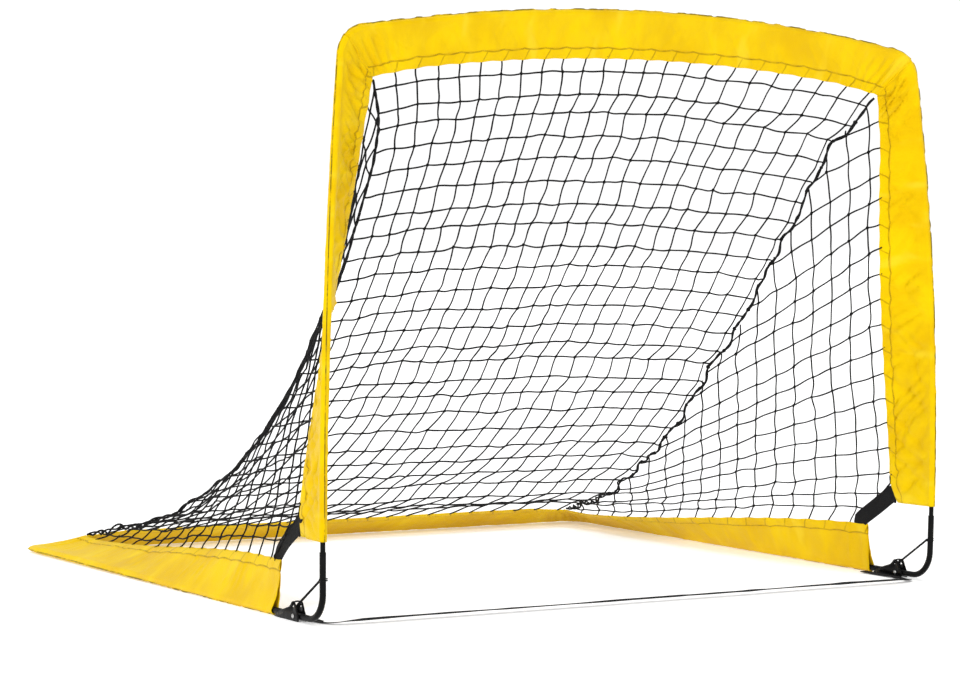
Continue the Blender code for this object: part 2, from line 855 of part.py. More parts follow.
def back_net_rows(top_hem, bottom_hem):
    """Grid of the back net: rows from the crossbar's hem down to the back band's hem."""
    seam = seam_curve(NET_ROWS)
    inset = Vector((NET_INSET, 0.0, 0.0))
    found = []
    for i, left in enumerate(seam):
        v = i / (NET_ROWS - 1)
        start = left + inset
        end = mirrored([start])[0]
        row = []
        for j in range(BACK_NET_COLUMNS):
            u = j / (BACK_NET_COLUMNS - 1)
            point = start.lerp(end, u)
            level_top = top_hem[0].lerp(top_hem[-1], u)
            level_bottom = bottom_hem[0].lerp(bottom_hem[-1], u)
            bow = point_at(top_hem, length_along(top_hem)[-1] * u) - level_top
            rise = point_at(bottom_hem, length_along(bottom_hem)[-1] * u) - level_bottom
            row.append(point + bow * (1 - v) ** EDGE_FADE + rise * v**EDGE_FADE)
        found.append(row)
    found[0] = [point + NET_BELOW_CROSSBAR for point in found[0]]
    found[-1] = [point + NET_ABOVE_BACK for point in found[-1]]
    return found


def side_net_edge(post, side_line, count):
    """The side net's front edge: down the post's hem, then across to the side band's corner."""
    above = [point for point in post if point.z > STRAP_TOP]
    route = [*above, post[-1] + NET_OVER_STRAP, side_line[-1] + NET_OVER_SIDE]
    whole = length_along(route)[-1]
    return [point_at(route, whole * step / (count - 1)) for step in range(count)]


def side_net_rows(post, side_line):
    """Grid of the left side net: rows from the top corner down to the side band's hem."""
    front = side_net_edge(post, side_line, NET_ROWS)
    seam = seam_curve(NET_ROWS)
    hem = side_line[::-1]
    hem_length = length_along(hem)[-1]
    found = []
    for i in range(SIDE_NET_SKIPPED, NET_ROWS):
        v = i / (NET_ROWS - 1)
        run = seam[i] - front[i]
        along = run.normalized()
        start = front[i] + along * NET_INSET
        end = seam[i] - along * (NET_INSET * (1 + SIDE_NET_WIDENING * v * v))
        row = []
        for j in range(SIDE_NET_COLUMNS):
            u = j / (SIDE_NET_COLUMNS - 1)
            level = hem[0].lerp(hem[-1], u)
            sag = point_at(hem, hem_length * u) - level
            row.append(start.lerp(end, u) + sag * v**SIDE_FADE)
        found.append(row)
    found[-1] = [point + Vector((0.0, 0.0, NET_INSET)) for point in found[-1]]
    return found


def build_seam_cord(side, parent):
    """The lacing between the back net and one side net."""
    seam = seam_curve(SEAM_CORD_POINTS)
    trimmed = cut(seam, SEAM_CORD_SHORT, length_along(seam)[-1] - SEAM_CORD_SHORT)
    cord(f"seam_cord_{side}", sided(trimmed, side), SEAM_CORD_RADIUS, parent, net_material())


def build_corner_strap(side, parent, post, side_line):
    """Webbing from the post band's lower corner to the side band's front corner."""
    start = post[-1] + STRAP_FROM_POST
    end = side_line[-1] + STRAP_FROM_SIDE
    middle = start.lerp(end, 0.5) + STRAP_BOW
    path = smooth_through([start, middle, end], STRAP_POINTS)
    across = [
        Vector((0.0, after.z - before.z, before.y - after.y))
        for before, after in zip([path[0], *path[:-1]], [*path[1:], path[-1]])
    ]
    own = sided(path, side)
    name = f"corner_strap_{side}"
    ribbon(name, own, across, STRAP_WIDTH, STRAP_THICKNESS, parent, webbing_material())


def build_stay_cord(side, parent):
    """The taut stay from the elbow's upright leg to the bracket's eyelet."""
    start = place(-FOOT_HALF, TUBE_RADIUS + STAY_RADIUS + STAY_TUBE_GAP, STAY_TOP_HEIGHT)
    end = place(-FOOT_HALF, PIVOT_BACK - STAY_FORWARD, EYELET_HEIGHT + STAY_EYELET_GAP)
    path = [start, *straight(start, end, 16), end]
    cord(f"stay_cord_{side}", sided(path, side), STAY_RADIUS, parent, stay_material())


def build_foot_tab(side, parent):
    """Flat webbing on the ground beside the bracket, sewn under the side band's front."""
    height = STRAP_THICKNESS / 2 + LAID_GAP
    x = -FOOT_HALF + TUBE_RADIUS + BRACKET_PLATE + TAB_BESIDE
    front = place(x, TAB_FRONT, height)
    rear = place(x, TAB_REAR, height)
    path = [front, *straight(front, rear, 3), rear]
    across = [Vector((1.0, 0.0, 0.0))] * len(path)
    own = sided(path, side)
    name = f"foot_tab_{side}"
    ribbon(name, own, across, TAB_WIDTH, STRAP_THICKNESS, parent, webbing_material())


def ground_strap_route():
    """Left half of the ground strap, from the foot tab to the middle of the mouth."""
    height = GROUND_STRAP_THICKNESS / 2 + LAID_GAP
    return [
        place(-0.5865, 0.0560, height),
        place(-0.5850, 0.0400, height),
        place(-0.5740, 0.0180, height),
        place(-0.5450, 0.0100, height),
        place(-0.4800, 0.0080, height),
        place(-0.3600, 0.0080, height),
        place(-0.1800, 0.0070, height),
        place(0.0000, 0.0080, height),
    ]


def build_ground_strap(parent):
    """Thin webbing across the mouth that keeps the feet from spreading."""
    path = smooth_through(whole_line(ground_strap_route()), GROUND_STRAP_POINTS)
    across = []
    for before, after in zip([path[0], *path[:-1]], [*path[1:], path[-1]]):
        across.append((after - before).cross(Vector((0.0, 0.0, 1.0))))
    ribbon(
        "ground_strap",
        path,
        across,
        GROUND_STRAP_WIDTH,
        GROUND_STRAP_THICKNESS,
        parent,
        webbing_material(),
    )


def build_goal():
    """Every part of the goal, on the empties that carry the base and the arch."""
    clear_scene()
    base = empty_at("base_frame", Vector((0.0, 0.0, 0.0)))
    arch = empty_at("arch_pivot", place(0.0, PIVOT_BACK, ROD_HEIGHT))
    fabric = fabric_material()
    arch_line, top_bend = arch_path()
    base_line, rear_bend = base_path()
    (post_centres, post_edge), (bar_centres, bar_edge) = arch_lines(arch_line, top_bend)
    (side_centres, side_edge), (back_centres, back_edge) = base_lines(base_line, rear_bend)
    for side in ("left", "right"):
        build_arch_frame(side, arch_line, top_bend, arch)
        build_base_frame(side, base_line, rear_bend, base)
        build_bracket(side, base)
        build_rivet(side, base)
        sleeve(f"post_sleeve_{side}", sided(post_centres, side), sided(post_edge, side), arch, fabric)
        sleeve(f"side_sleeve_{side}", sided(side_centres, side), sided(side_edge, side), base, fabric)
        rows = [sided(row, side) for row in side_net_rows(post_edge, side_edge)]
        slab(f"side_net_{side}", rows, NET_THICKNESS, base, net_material())
        build_seam_cord(side, base)
        build_corner_strap(side, base, post_edge, side_edge)
        build_stay_cord(side, base)
        build_foot_tab(side, base)
    middle_ferrule("crossbar_ferrule", arch_line, arch)
    middle_ferrule("back_ferrule", base_line, base)
    bar_line = whole_line(bar_edge)
    back_line = whole_line(back_edge)
    sleeve("crossbar_sleeve", whole_line(bar_centres), bar_line, arch, fabric)
    sleeve("back_sleeve", whole_line(back_centres), back_line, base, fabric)
    net = back_net_rows(bar_line, back_line)
    slab("back_net", net, NET_THICKNESS, base, net_material())
    build_ground_strap(base)


build_goal()
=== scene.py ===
import math

import bpy
import numpy as np
from mathutils import Matrix, Vector
from mathutils.kdtree import KDTree


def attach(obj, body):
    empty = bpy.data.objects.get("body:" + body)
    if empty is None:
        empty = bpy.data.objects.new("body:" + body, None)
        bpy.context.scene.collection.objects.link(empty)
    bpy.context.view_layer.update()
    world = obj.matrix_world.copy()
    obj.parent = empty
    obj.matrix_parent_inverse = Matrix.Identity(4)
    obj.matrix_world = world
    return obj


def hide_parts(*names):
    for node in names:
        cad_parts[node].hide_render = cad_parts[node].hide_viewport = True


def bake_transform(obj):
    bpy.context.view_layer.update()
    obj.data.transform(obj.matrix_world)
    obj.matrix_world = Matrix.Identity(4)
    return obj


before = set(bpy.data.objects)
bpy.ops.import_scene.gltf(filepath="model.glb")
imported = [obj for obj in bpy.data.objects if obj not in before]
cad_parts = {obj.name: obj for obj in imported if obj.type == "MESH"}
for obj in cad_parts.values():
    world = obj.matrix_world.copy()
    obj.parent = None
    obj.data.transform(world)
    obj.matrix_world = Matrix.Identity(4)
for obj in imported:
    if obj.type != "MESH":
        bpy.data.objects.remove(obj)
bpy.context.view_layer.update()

MM = 0.001

# The frame's centre lines, as part.py has them.
FRONT_Y = -0.56135
FOOT_HALF = 0.606
REAR_HALF = 0.608
TOP_HALF = 0.567
DEPTH = 1.124
CORNER_HEIGHT = 0.916
CROWN_RISE = 0.049
ARCH_LEAN = 0.023
POST_BOW_OUT = 0.014
POST_BOW_FRONT = 0.008
BEND_RADIUS = 0.045
ROD_RADIUS = 0.004
TUBE_RADIUS = 0.0052
TUBE_BORE = 0.0043
ROD_HEIGHT = 0.0077
PIVOT_BACK = 0.084
ELBOW_TAIL = 0.0035
ELBOW_MOUTH = 0.116
SOCKET_START = 0.0965
SOCKET_LENGTH = 0.105
BAND_DROP = 0.066
POST_SLEEVE_BOTTOM = 0.132
CROSSBAR_BAND = 0.073
BASE_BAND = 0.081
SIDE_BAND = 0.079
BASE_SLEEVE_START = 0.157
GATHER_REACH = 0.15
EYELET_HEIGHT = 0.0235
FOLD_DEGREES = 85.0

# The sleeves' cloth.
CLOTH = 0.45 * MM
ROLL_RADIUS = 6.7 * MM  # cloth round the rod
HEM_DEPTH = 18.5 * MM
HEM_STOPS = np.array([0, 0.5, 1.5, 3, 5, 8, 11, 14, 16.2, 17.6, 18.5, 19.4, 20.8, 23, 26, 30]) * MM
BAND_STEPS = 15

FIN_ANGLES = np.array((-0.16, -0.10, -0.05, 0.0, 0.05, 0.10, 0.16))
FIN = 1.9 * MM

# The net.
COLUMNS = 24
ROWS = 26
SIDE_ROWS = 18
SIDE_START = 0.47  # of a cell from the front edge to the first column
TWINE = 1.42 * MM


SIDES = ("left", "right")
STRAP_WIDTH = 0.0132
STAY_RADIUS = 1.9 * MM
STAY_HEIGHT = 0.0735  # where the stay is tied to the elbow
SEAM_POINTS = 400
ARCH_POINTS = 4000
TUCK = 4.5 * MM  # how far a strand's end goes into a hem
HIDDEN_BY_BAND = 0.45  # height by which the post's band surely covers its rod
LAST_CELL_LEAST = 0.010
FIRST_CELL_LEAST = 0.008
SIDE_DRIFT = 3.0 * MM
LACING_KNOT_SIZE = 1.55
KNOT_SPREAD = 1.2 * MM  # how far a knot strays from its place
KNOT_SIZE = 1.12  # of the net's knots, against the mould
UP = np.array((0.0, 0.0, 1.0))
SEAM_FACING = (-0.8, 0.1, 0.6)  # roughly square to the two nets' seam


def place(x, back, height):
    """A point from its distance behind the goal line."""
    return np.array((x, FRONT_Y + back, height))


def clipped(x):
    return np.clip(x, 0.0, 1.0)


def eased(x):
    """A smooth step from 0 to 1."""
    x = clipped(x)
    return x * x * (3 - 2 * x)


def unit(v):
    return v / np.maximum(np.linalg.norm(v, axis=-1, keepdims=True), 1e-12)


def lengths(path):
    return np.concatenate([[0.0], np.cumsum(np.linalg.norm(np.diff(path, axis=0), axis=1))])


def sampled(values, known, s):
    """Vectors given at known distances along a path, at other distances."""
    return np.stack([np.interp(s, known, values[:, k]) for k in range(3)], axis=-1)


def at(path, s):
    """Points of a path at distances along it."""
    return sampled(path, lengths(path), s)


def even(path, count):
    return at(path, np.linspace(0.0, lengths(path)[-1], count))


def smooth_through(points, count):
    """A Catmull-Rom curve through the points, sampled evenly."""
    points = np.asarray(points, float)
    ends = np.vstack([points[0] * 2 - points[1], points, points[-1] * 2 - points[-2]])
    t = np.linspace(0.0, 1.0, 24, endpoint=False)[:, None]
    fine = []
    for a, b, c, d in zip(ends, ends[1:], ends[2:], ends[3:]):
        square, cube = 2 * a - 5 * b + 4 * c - d, 3 * b - a - 3 * c + d
        fine.append(0.5 * (2 * b + (c - a) * t + square * t**2 + cube * t**3))
    return even(np.vstack([*fine, points[-1:]]), count)


def noise(x, y, seed):
    """Smooth noise from -1 to 1 on a unit grid."""
    table = np.random.default_rng(seed).uniform(-1.0, 1.0, (64, 64))
    x, y = np.broadcast_arrays(np.asarray(x, float), np.asarray(y, float))
    i, j = np.floor(x).astype(int), np.floor(y).astype(int)
    u, v = (w * w * w * (w * (6 * w - 15) + 10) for w in (x - i, y - j))
    a = table[i % 64, j % 64]
    b = table[(i + 1) % 64, j % 64]
    c = table[i % 64, (j + 1) % 64]
    d = table[(i + 1) % 64, (j + 1) % 64]
    return (a * (1 - u) + b * u) * (1 - v) + (c * (1 - u) + d * u) * v


def column_shares():
    """Where the back net's columns hang across the goal: the cells widen towards the right."""
    j = np.arange(COLUMNS + 1)
    shares = 0.0396 * j + 0.000367 * np.maximum(0, j - 9) ** 2
    return np.minimum(shares, 1.0)


def row_shares():
    """How far down the seams each row of the back net lies: cells grow longer near the ground."""
    rows = (0, 1, 10, 18, 22, 24, 26, 27)
    return np.interp(np.arange(ROWS + 2), rows, (0, 0.02, 0.30, 0.553, 0.716, 0.81, 0.93, 1))


def side_pitch(v):
    """The side net's cell length along a row: longer lower down."""
    return 0.040 + 0.013 * v


def side_lead(row):
    """How far the corner strap cuts a row of the side net short: only the lowest rows."""
    return float(np.interp(SIDE_ROWS - row, (0, 1, 2, 3), (0.058, 0.040, 0.006, 0.0)))


def mirrored(points):
    return points * np.array((-1.0, 1.0, 1.0))


def sided(points, side):
    return points if side == "left" else mirrored(points)


# ---------------------------------------------------------------- mesh making


class Shape:
    """Collects rings and sheets of quads into one mesh."""

    def __init__(self):
        self.points = []
        self.quads = []
        self.maps = {}
        self.count = 0

    def add(self, points, quads, **maps):
        """maps are UV coordinates, one for each corner of each quad."""
        self.points.append(points.reshape(-1, 3))
        self.quads.append(quads.reshape(-1, 4) + self.count)
        self.count += len(self.points[-1])
        for name, uv in maps.items():
            self.maps.setdefault(name, []).append(uv.reshape(-1, 2))

    def piece(self, name, material):
        points = np.vstack(self.points)
        quads = np.vstack(self.quads).astype(np.int32)
        mesh = bpy.data.meshes.new(name)
        mesh.vertices.add(len(points))
        mesh.vertices.foreach_set("co", points.astype(np.float32).ravel())
        mesh.loops.add(quads.size)
        mesh.loops.foreach_set("vertex_index", quads.ravel())
        mesh.polygons.add(len(quads))
        mesh.polygons.foreach_set("loop_start", np.arange(0, quads.size, 4, dtype=np.int32))
        for label, parts in self.maps.items():
            layer = mesh.uv_layers.new(name=label)
            layer.data.foreach_set("uv", np.vstack(parts).astype(np.float32).ravel())
        mesh.update(calc_edges=True)
        mesh.validate()
        mesh.shade_smooth()
        mesh.materials.append(material)
        obj = bpy.data.objects.new(name, mesh)
        bpy.context.scene.collection.objects.link(obj)
        return obj


def grid_quads(rows, columns, around):
    """Quads of a grid; around joins its last column to its first."""
    i = np.arange(rows - 1)[:, None]
    j = np.arange(columns if around else columns - 1)[None, :]
    k = (j + 1) % columns
    return np.stack(
        [i * columns + j, i * columns + k, (i + 1) * columns + k, (i + 1) * columns + j], axis=-1
    )


def grid_map(a, b, around):
    """Corner coordinates for grid_quads from a value on each row and each column or grid point."""
    a, b = np.broadcast_arrays(a, b)
    uv = np.stack([a, b], axis=-1)
    if around:
        step = uv[:, -1:] * 2 - uv[:, -2:-1]
        uv = np.concatenate([uv, step], axis=1)
    return np.stack([uv[:-1, :-1], uv[:-1, 1:], uv[1:, 1:], uv[1:, :-1]], axis=2)


def end_quads(sides, start, flip):
    """Quads that close a ring with an even number of sides."""
    quads = []
    for k in range(sides // 2 - 1):
        quad = [k, k + 1, sides - 2 - k, sides - 1 - k]
        quads.append(quad[::-1] if flip else quad)
    return np.array(quads) + start


def frames(path, ref):
    """Sideways and upward unit vectors along a path, from a reference direction."""
    ahead = unit(np.gradient(path, axis=0))
    side = unit(np.cross(ahead, ref))
    return ahead, side, np.cross(side, ahead)


def carried(path):
    """Frames carried along a path without twist, for paths that turn a lot."""
    ahead = unit(np.gradient(path, axis=0))
    up = np.cross(ahead[0], (0.31, 0.62, 0.72))
    ups = []
    for way in ahead:
        up = unit(up - way * up.dot(way))
        ups.append(up)
    ups = np.array(ups)
    return ahead, np.cross(ahead, ups), ups


def spokes(side, up, sides):
    """Directions round a path: a ring of them for each of its points."""
    angle = np.arange(sides) * 2 * math.pi / sides
    return side[:, None] * np.cos(angle)[:, None] + up[:, None] * np.sin(angle)[:, None]


def closed_tube(points, along, around, at_ends=(0.0, 0.0)):
    """Quads and corner coordinates of a tube with a cap at each end."""
    rows, sides = points.shape[:2]
    caps = [end_quads(sides, 0, True), end_quads(sides, (rows - 1) * sides, False)]
    quads = np.vstack([grid_quads(rows, sides, True).reshape(-1, 4), *caps])
    uv = grid_map(along, around, True).reshape(-1, 2)
    return quads, np.vstack([uv, np.tile(at_ends, (quads.size - len(uv), 1))])


def wrapped(quads, count):
    """Joins the last ring of a grid to its first."""
    return np.where(quads >= count, quads - count, quads)


def add_tube(shape, path, radius, sides, frame_of=None, start_u=0.0):
    """A closed round tube along a path, with the radius the same or one for each point."""
    _, side, up = frame_of or carried(path)
    radius = np.broadcast_to(radius, len(path))
    points = path[:, None] + spokes(side, up, sides) * radius[:, None, None]
    along = lengths(path)[:, None] + start_u
    around = np.arange(sides)[None, :] / sides
    quads, uv = closed_tube(points, along, around, (start_u, 0.0))
    shape.add(points, quads, run=uv)


def add_pipe(shape, path, outer, bore, sides=28):
    """A tube with an open bore and rounded mouths."""
    lip = 0.45 * MM
    plain = 3 * MM
    whole = lengths(path)[-1]
    steps = [0.0, lip * 0.3, lip, *np.linspace(plain, whole - plain, len(path)), whole - lip]
    steps = np.array([*steps, whole - lip * 0.3, whole])
    radii = np.full(len(steps), outer)
    for k, cut in ((0, lip), (1, lip * 0.35), (-1, lip), (-2, lip * 0.35)):
        radii[k] -= cut
    middle = at(path, steps)
    _, side, up = carried(middle)
    ring = spokes(side, up, sides)
    outside = middle[:, None] + ring * radii[:, None, None]
    inside = middle[:, None] + ring * bore
    points = np.concatenate([outside, inside[::-1], outside[:1]], axis=0)
    along = np.concatenate([steps, steps[::-1], steps[:1]])[:, None]
    uv = grid_map(along, np.arange(sides)[None, :] / sides, True)
    quads = wrapped(grid_quads(len(points), sides, True), (len(points) - 1) * sides)
    shape.add(points[:-1], quads, run=uv)


def add_ribbon(shape, path, across, width, thickness, bow=0.0, steps=10):
    """Flat webbing with rounded selvedges; across is its width's direction at each point."""
    ahead = unit(np.gradient(path, axis=0))
    side = unit(across - ahead * (across * ahead).sum(axis=1, keepdims=True))
    face = np.cross(ahead, side)
    x = np.linspace(-1.0, 1.0, steps + 1)
    rounded = np.sqrt(clipped(1 - np.abs(x) ** 8)) * 0.75 + 0.25
    top = np.stack([x * width / 2, rounded * thickness / 2], axis=1)
    section = np.vstack([top, top[::-1] * np.array((1.0, -1.0))])
    height = section[:, 1] + bow * (1 - (2 * section[:, 0] / width) ** 2)
    points = path[:, None] + side[:, None] * section[:, :1] + face[:, None] * height[:, None]
    quads, uv = closed_tube(points, lengths(path)[:, None], section[:, 0][None, :])
    shape.add(points, quads, run=uv)


# ---------------------------------------------------------------- materials


class Look:
    """A Principled material and short ways to add nodes to it."""

    def __init__(self, name, **values):
        self.material = bpy.data.materials.new(name)
        self.material.use_nodes = True
        self.tree = self.material.node_tree
        self.shader = self.tree.nodes["Principled BSDF"]
        for label, value in values.items():
            self.shader.inputs[label.replace("_", " ")].default_value = value

    def node(self, kind, inputs=(), **settings):
        made = self.tree.nodes.new("ShaderNode" + kind)
        for label, value in settings.items():
            setattr(made, label, value)
        for key, value in dict(inputs).items():
            self.feed(made.inputs[key], value)
        return made

    def feed(self, socket, value):
        if isinstance(value, bpy.types.NodeSocket):
            self.tree.links.new(value, socket)
        else:
            socket.default_value = value

    def uv(self, name):
        return self.node("UVMap", uv_map=name).outputs[0]

    def split(self, vector):
        return self.node("SeparateXYZ", {0: vector}).outputs

    def math(self, operation, a, b=0.0, c=0.0):
        return self.node("Math", {0: a, 1: b, 2: c}, operation=operation).outputs[0]

    def times(self, a, b, plus=None):
        if plus is None:
            return self.math("MULTIPLY", a, b)
        return self.math("MULTIPLY_ADD", a, b, plus)

    def sine(self, a):
        return self.math("SINE", a)

    def noise(self, vector, scale, detail=3.0, rough=0.5):
        inputs = {"Vector": vector, "Scale": scale, "Detail": detail, "Roughness": rough}
        return self.node("TexNoise", inputs).outputs[0]

    def scaled(self, vector, scale):
        return self.node("Mapping", {"Vector": vector, "Scale": scale}).outputs[0]

    def grain(self, vector, scale, detail=3.0, rough=0.5):
        """Noise with a scale of its own along each axis."""
        return self.noise(self.scaled(vector, scale), 1.0, detail, rough)

    def mix(self, share, a, b):
        made = self.node("Mix", data_type="RGBA")
        for socket, value in zip((made.inputs[0], made.inputs[6], made.inputs[7]), (share, a, b)):
            self.feed(socket, value)
        return made.outputs[2]

    def between(self, value, low, high, to_low=0.0, to_high=1.0):
        inputs = {"Value": value, 1: low, 2: high, 3: to_low, 4: to_high}
        return self.node("MapRange", inputs, interpolation_type="SMOOTHSTEP").outputs[0]

    def place(self):
        return self.node("TexCoord").outputs["Object"]

    def bump(self, height, distance, strength=1.0):
        made = self.node("Bump", {"Height": height, "Distance": distance, "Strength": strength})
        self.feed(self.shader.inputs["Normal"], made.outputs[0])

    def set(self, **links):
        for label, value in links.items():
            self.feed(self.shader.inputs[label.replace("_", " ")], value)


def rgb(r, g, b):
    return (r, g, b, 1.0)


def sleeve_look():
    """Bright woven polyester with the net's border showing through the hem."""
    look = Look(
        "sleeve_cloth",
        Sheen_Weight=0.08,
        Sheen_Roughness=0.4,
        Sheen_Tint=rgb(1.0, 0.72, 0.05),
        Specular_IOR_Level=0.22,
        Specular_Tint=rgb(1.0, 0.76, 0.10),
    )
    cloth = look.uv("cloth")
    cell, depth, _ = look.split(look.uv("mesh"))
    rim, _, _ = look.split(look.uv("rim"))
    broad = look.noise(look.place(), 7.0, 3.0, 0.55)
    patch = look.grain(cloth, (16.0, 9.0, 1.0), 4.0, 0.6)
    tone = look.between(look.math("ADD", broad, patch), 0.72, 1.28)
    colour = look.mix(tone, rgb(0.70, 0.43, 0.001), rgb(0.81, 0.555, 0.001))
    # Painted highlight: soft lighter blotches on the cloth, standing in for light catching its
    # folds.
    blotch = look.grain(cloth, (24.0, 9.0, 1.0), 2.0, 0.5)
    painted_highlight = look.between(blotch, 0.56, 0.70, 0.0, 0.30)
    colour = look.mix(painted_highlight, colour, rgb(0.86, 0.67, 0.045))
    # The border line of the net, in scallops between the strands, and each strand's end.
    share = look.math("FRACT", cell)
    swing = look.math("ABSOLUTE", look.sine(look.times(cell, math.pi)))
    wobble = look.grain(look.uv("mesh"), (2.7, 90.0, 1.0), 2.0)
    line = look.times(swing, -2.6 * MM, HEM_DEPTH - 0.6 * MM)
    line = look.times(wobble, 1.6 * MM, line)
    off_line = look.math("ABSOLUTE", look.math("SUBTRACT", depth, line))
    border = look.between(off_line, 0.5 * MM, 1.9 * MM, 1.0, 0.0)
    slant = look.times(depth, 11.0, look.times(wobble, 0.10))
    off_strand = look.math("PINGPONG", look.math("SUBTRACT", share, slant), 0.5)
    strand = look.between(off_strand, 0.014, 0.05, 0.8, 0.0)
    inside = look.between(depth, HEM_DEPTH - 1.5 * MM, HEM_DEPTH, 1.0, 0.0)
    strand = look.times(strand, inside)
    shows = look.math("MAXIMUM", border, strand)
    uneven = look.between(look.grain(cloth, (60.0, 60.0, 1.0), 2.0), 0.3, 0.7, 0.45, 1.0)
    shows = look.times(shows, uneven)
    colour = look.mix(look.times(shows, 0.85), colour, rgb(0.27, 0.155, 0.003))
    # Painted shade along the rod's outer side: the seam ridge's thin shadow, broken in places.
    ragged = look.grain(cloth, (26.0, 4.0, 1.0), 4.0, 0.7)
    painted_rim_shade = look.times(look.between(rim, 0.90, 0.955), look.between(ragged, 0.36, 0.56, 0.12, 1.0))
    colour = look.mix(look.times(painted_rim_shade, 0.85), colour, rgb(0.085, 0.065, 0.010))
    weave_u, weave_v, _ = look.split(look.scaled(cloth, (2 * math.pi / (0.9 * MM),) * 2 + (1.0,)))
    weave = look.times(look.sine(weave_u), look.sine(weave_v))
    crinkle = look.grain(cloth, (150.0, 110.0, 1.0), 5.0, 0.62)
    height = look.times(weave, 0.10, look.times(crinkle, 1.1))
    height = look.times(shows, 0.8, height)
    look.bump(height, 0.7 * MM, 0.75)
    look.set(Base_Color=colour, Roughness=look.between(patch, 0.3, 0.7, 0.42, 0.56))
    return look.material


def twine_look(name, grain, radius):
    """Black twisted cord: grain is how many turns it makes in a metre."""
    look = Look(name, Specular_IOR_Level=0.1, Sheen_Weight=0.02)
    along, around, _ = look.split(look.uv("run"))
    phase = look.times(along, grain, around)
    lay = look.math("ABSOLUTE", look.sine(look.times(phase, 3 * math.pi)))
    fuzz = look.noise(look.place(), 900.0, 3.0, 0.7)
    patch = look.noise(look.place(), 24.0, 3.0)
    tone = look.between(look.times(lay, 0.35, patch), 0.35, 0.95)
    look.set(Base_Color=look.mix(tone, rgb(0.003, 0.003, 0.003), rgb(0.012, 0.012, 0.013)))
    look.set(Roughness=look.between(fuzz, 0.3, 0.7, 0.62, 0.85))
    look.bump(look.times(fuzz, 0.3, lay), radius * 0.5)
    return look.material


def webbing_look():
    """Black ribbed webbing with a herringbone."""
    look = Look("black_webbing", Specular_IOR_Level=0.1, Sheen_Weight=0.02)
    along, across, _ = look.split(look.uv("run"))
    ribs = look.sine(look.times(across, 2 * math.pi / (1.5 * MM)))
    picks = look.sine(look.times(along, 2 * math.pi / (1.1 * MM), ribs))
    fuzz = look.noise(look.place(), 600.0, 3.0, 0.7)
    patch = look.noise(look.place(), 35.0, 4.0)
    look.set(Base_Color=look.mix(patch, rgb(0.003, 0.003, 0.0035), rgb(0.013, 0.013, 0.014)))
    look.set(Roughness=look.between(fuzz, 0.3, 0.7, 0.6, 0.85))
    height = look.times(ribs, 0.6, look.times(picks, 0.4))
    look.bump(look.times(fuzz, 0.5, height), 0.25 * MM)
    return look.material


def coat_look(name, low, high):
    """Black coat with orange peel, scuffs and a trace of dust."""
    look = Look(name, Specular_IOR_Level=0.10)
    where = look.place()
    peel = look.noise(where, 420.0, 2.0)
    scuff = look.grain(where, (260.0, 260.0, 38.0), 5.0, 0.7)
    dust = look.between(look.noise(where, 55.0, 5.0, 0.65), 0.52, 0.8, 0.0, 0.5)
    colour = look.mix(dust, rgb(0.002, 0.002, 0.0022), rgb(0.009, 0.009, 0.009))
    colour = look.mix(look.between(scuff, 0.68, 0.76, 0.0, 0.5), colour, rgb(0.035, 0.035, 0.035))
    look.set(Base_Color=colour, Roughness=look.between(scuff, 0.3, 0.75, low, high))
    look.bump(look.times(scuff, 0.3, peel), 0.12 * MM)
    return look.material


def zinc_look():
    look = Look("zinc_rivet", Metallic=1.0)
    where = look.place()
    grain = look.grain(where, (900.0, 200.0, 900.0), 3.0)
    stain = look.noise(where, 260.0, 4.0)
    look.set(Base_Color=look.mix(stain, rgb(0.30, 0.30, 0.31), rgb(0.62, 0.62, 0.60)))
    look.set(Roughness=look.between(grain, 0.3, 0.7, 0.28, 0.5))
    look.bump(grain, 0.05 * MM)
    return look.material


def thread_look():
    look = Look("amber_thread", Specular_IOR_Level=0.4)
    along, around, _ = look.split(look.uv("run"))
    twist = look.sine(look.times(along, 9000.0, look.times(around, 6.283)))
    fuzz = look.noise(look.place(), 1500.0, 2.0)
    colour = look.mix(fuzz, rgb(0.62, 0.34, 0.004), rgb(0.84, 0.55, 0.01))
    look.set(Base_Color=colour, Roughness=0.55)
    look.bump(twist, 0.1 * MM)
    return look.material


def floor_look():
    look = Look("pale_floor", Roughness=0.85, Specular_IOR_Level=0.15, Emission_Strength=0.27)
    look.set(Emission_Color=rgb(1.0, 1.0, 1.0))
    speck = look.noise(look.place(), 3.0, 4.0)
    look.set(Base_Color=look.mix(speck, rgb(0.90, 0.90, 0.90), rgb(0.93, 0.93, 0.93)))
    return look.material


# ---------------------------------------------------------------- centre lines and hems


def fillet(before, corner, after, radius, segments):
    towards = unit(corner - before)
    onwards = unit(after - corner)
    turn = math.acos(towards.dot(onwards))
    start = corner - towards * (radius * math.tan(turn / 2))
    inward = unit(onwards - towards * onwards.dot(towards))
    a = np.linspace(0.0, turn, segments + 1)[:, None]
    return start + inward * radius + towards * radius * np.sin(a) - inward * radius * np.cos(a)


def crown(x):
    height = CORNER_HEIGHT + CROWN_RISE * (1 - (x / TOP_HALF) ** 2)
    return np.stack([x, FRONT_Y + ARCH_LEAN * height / CORNER_HEIGHT, height], axis=-1)


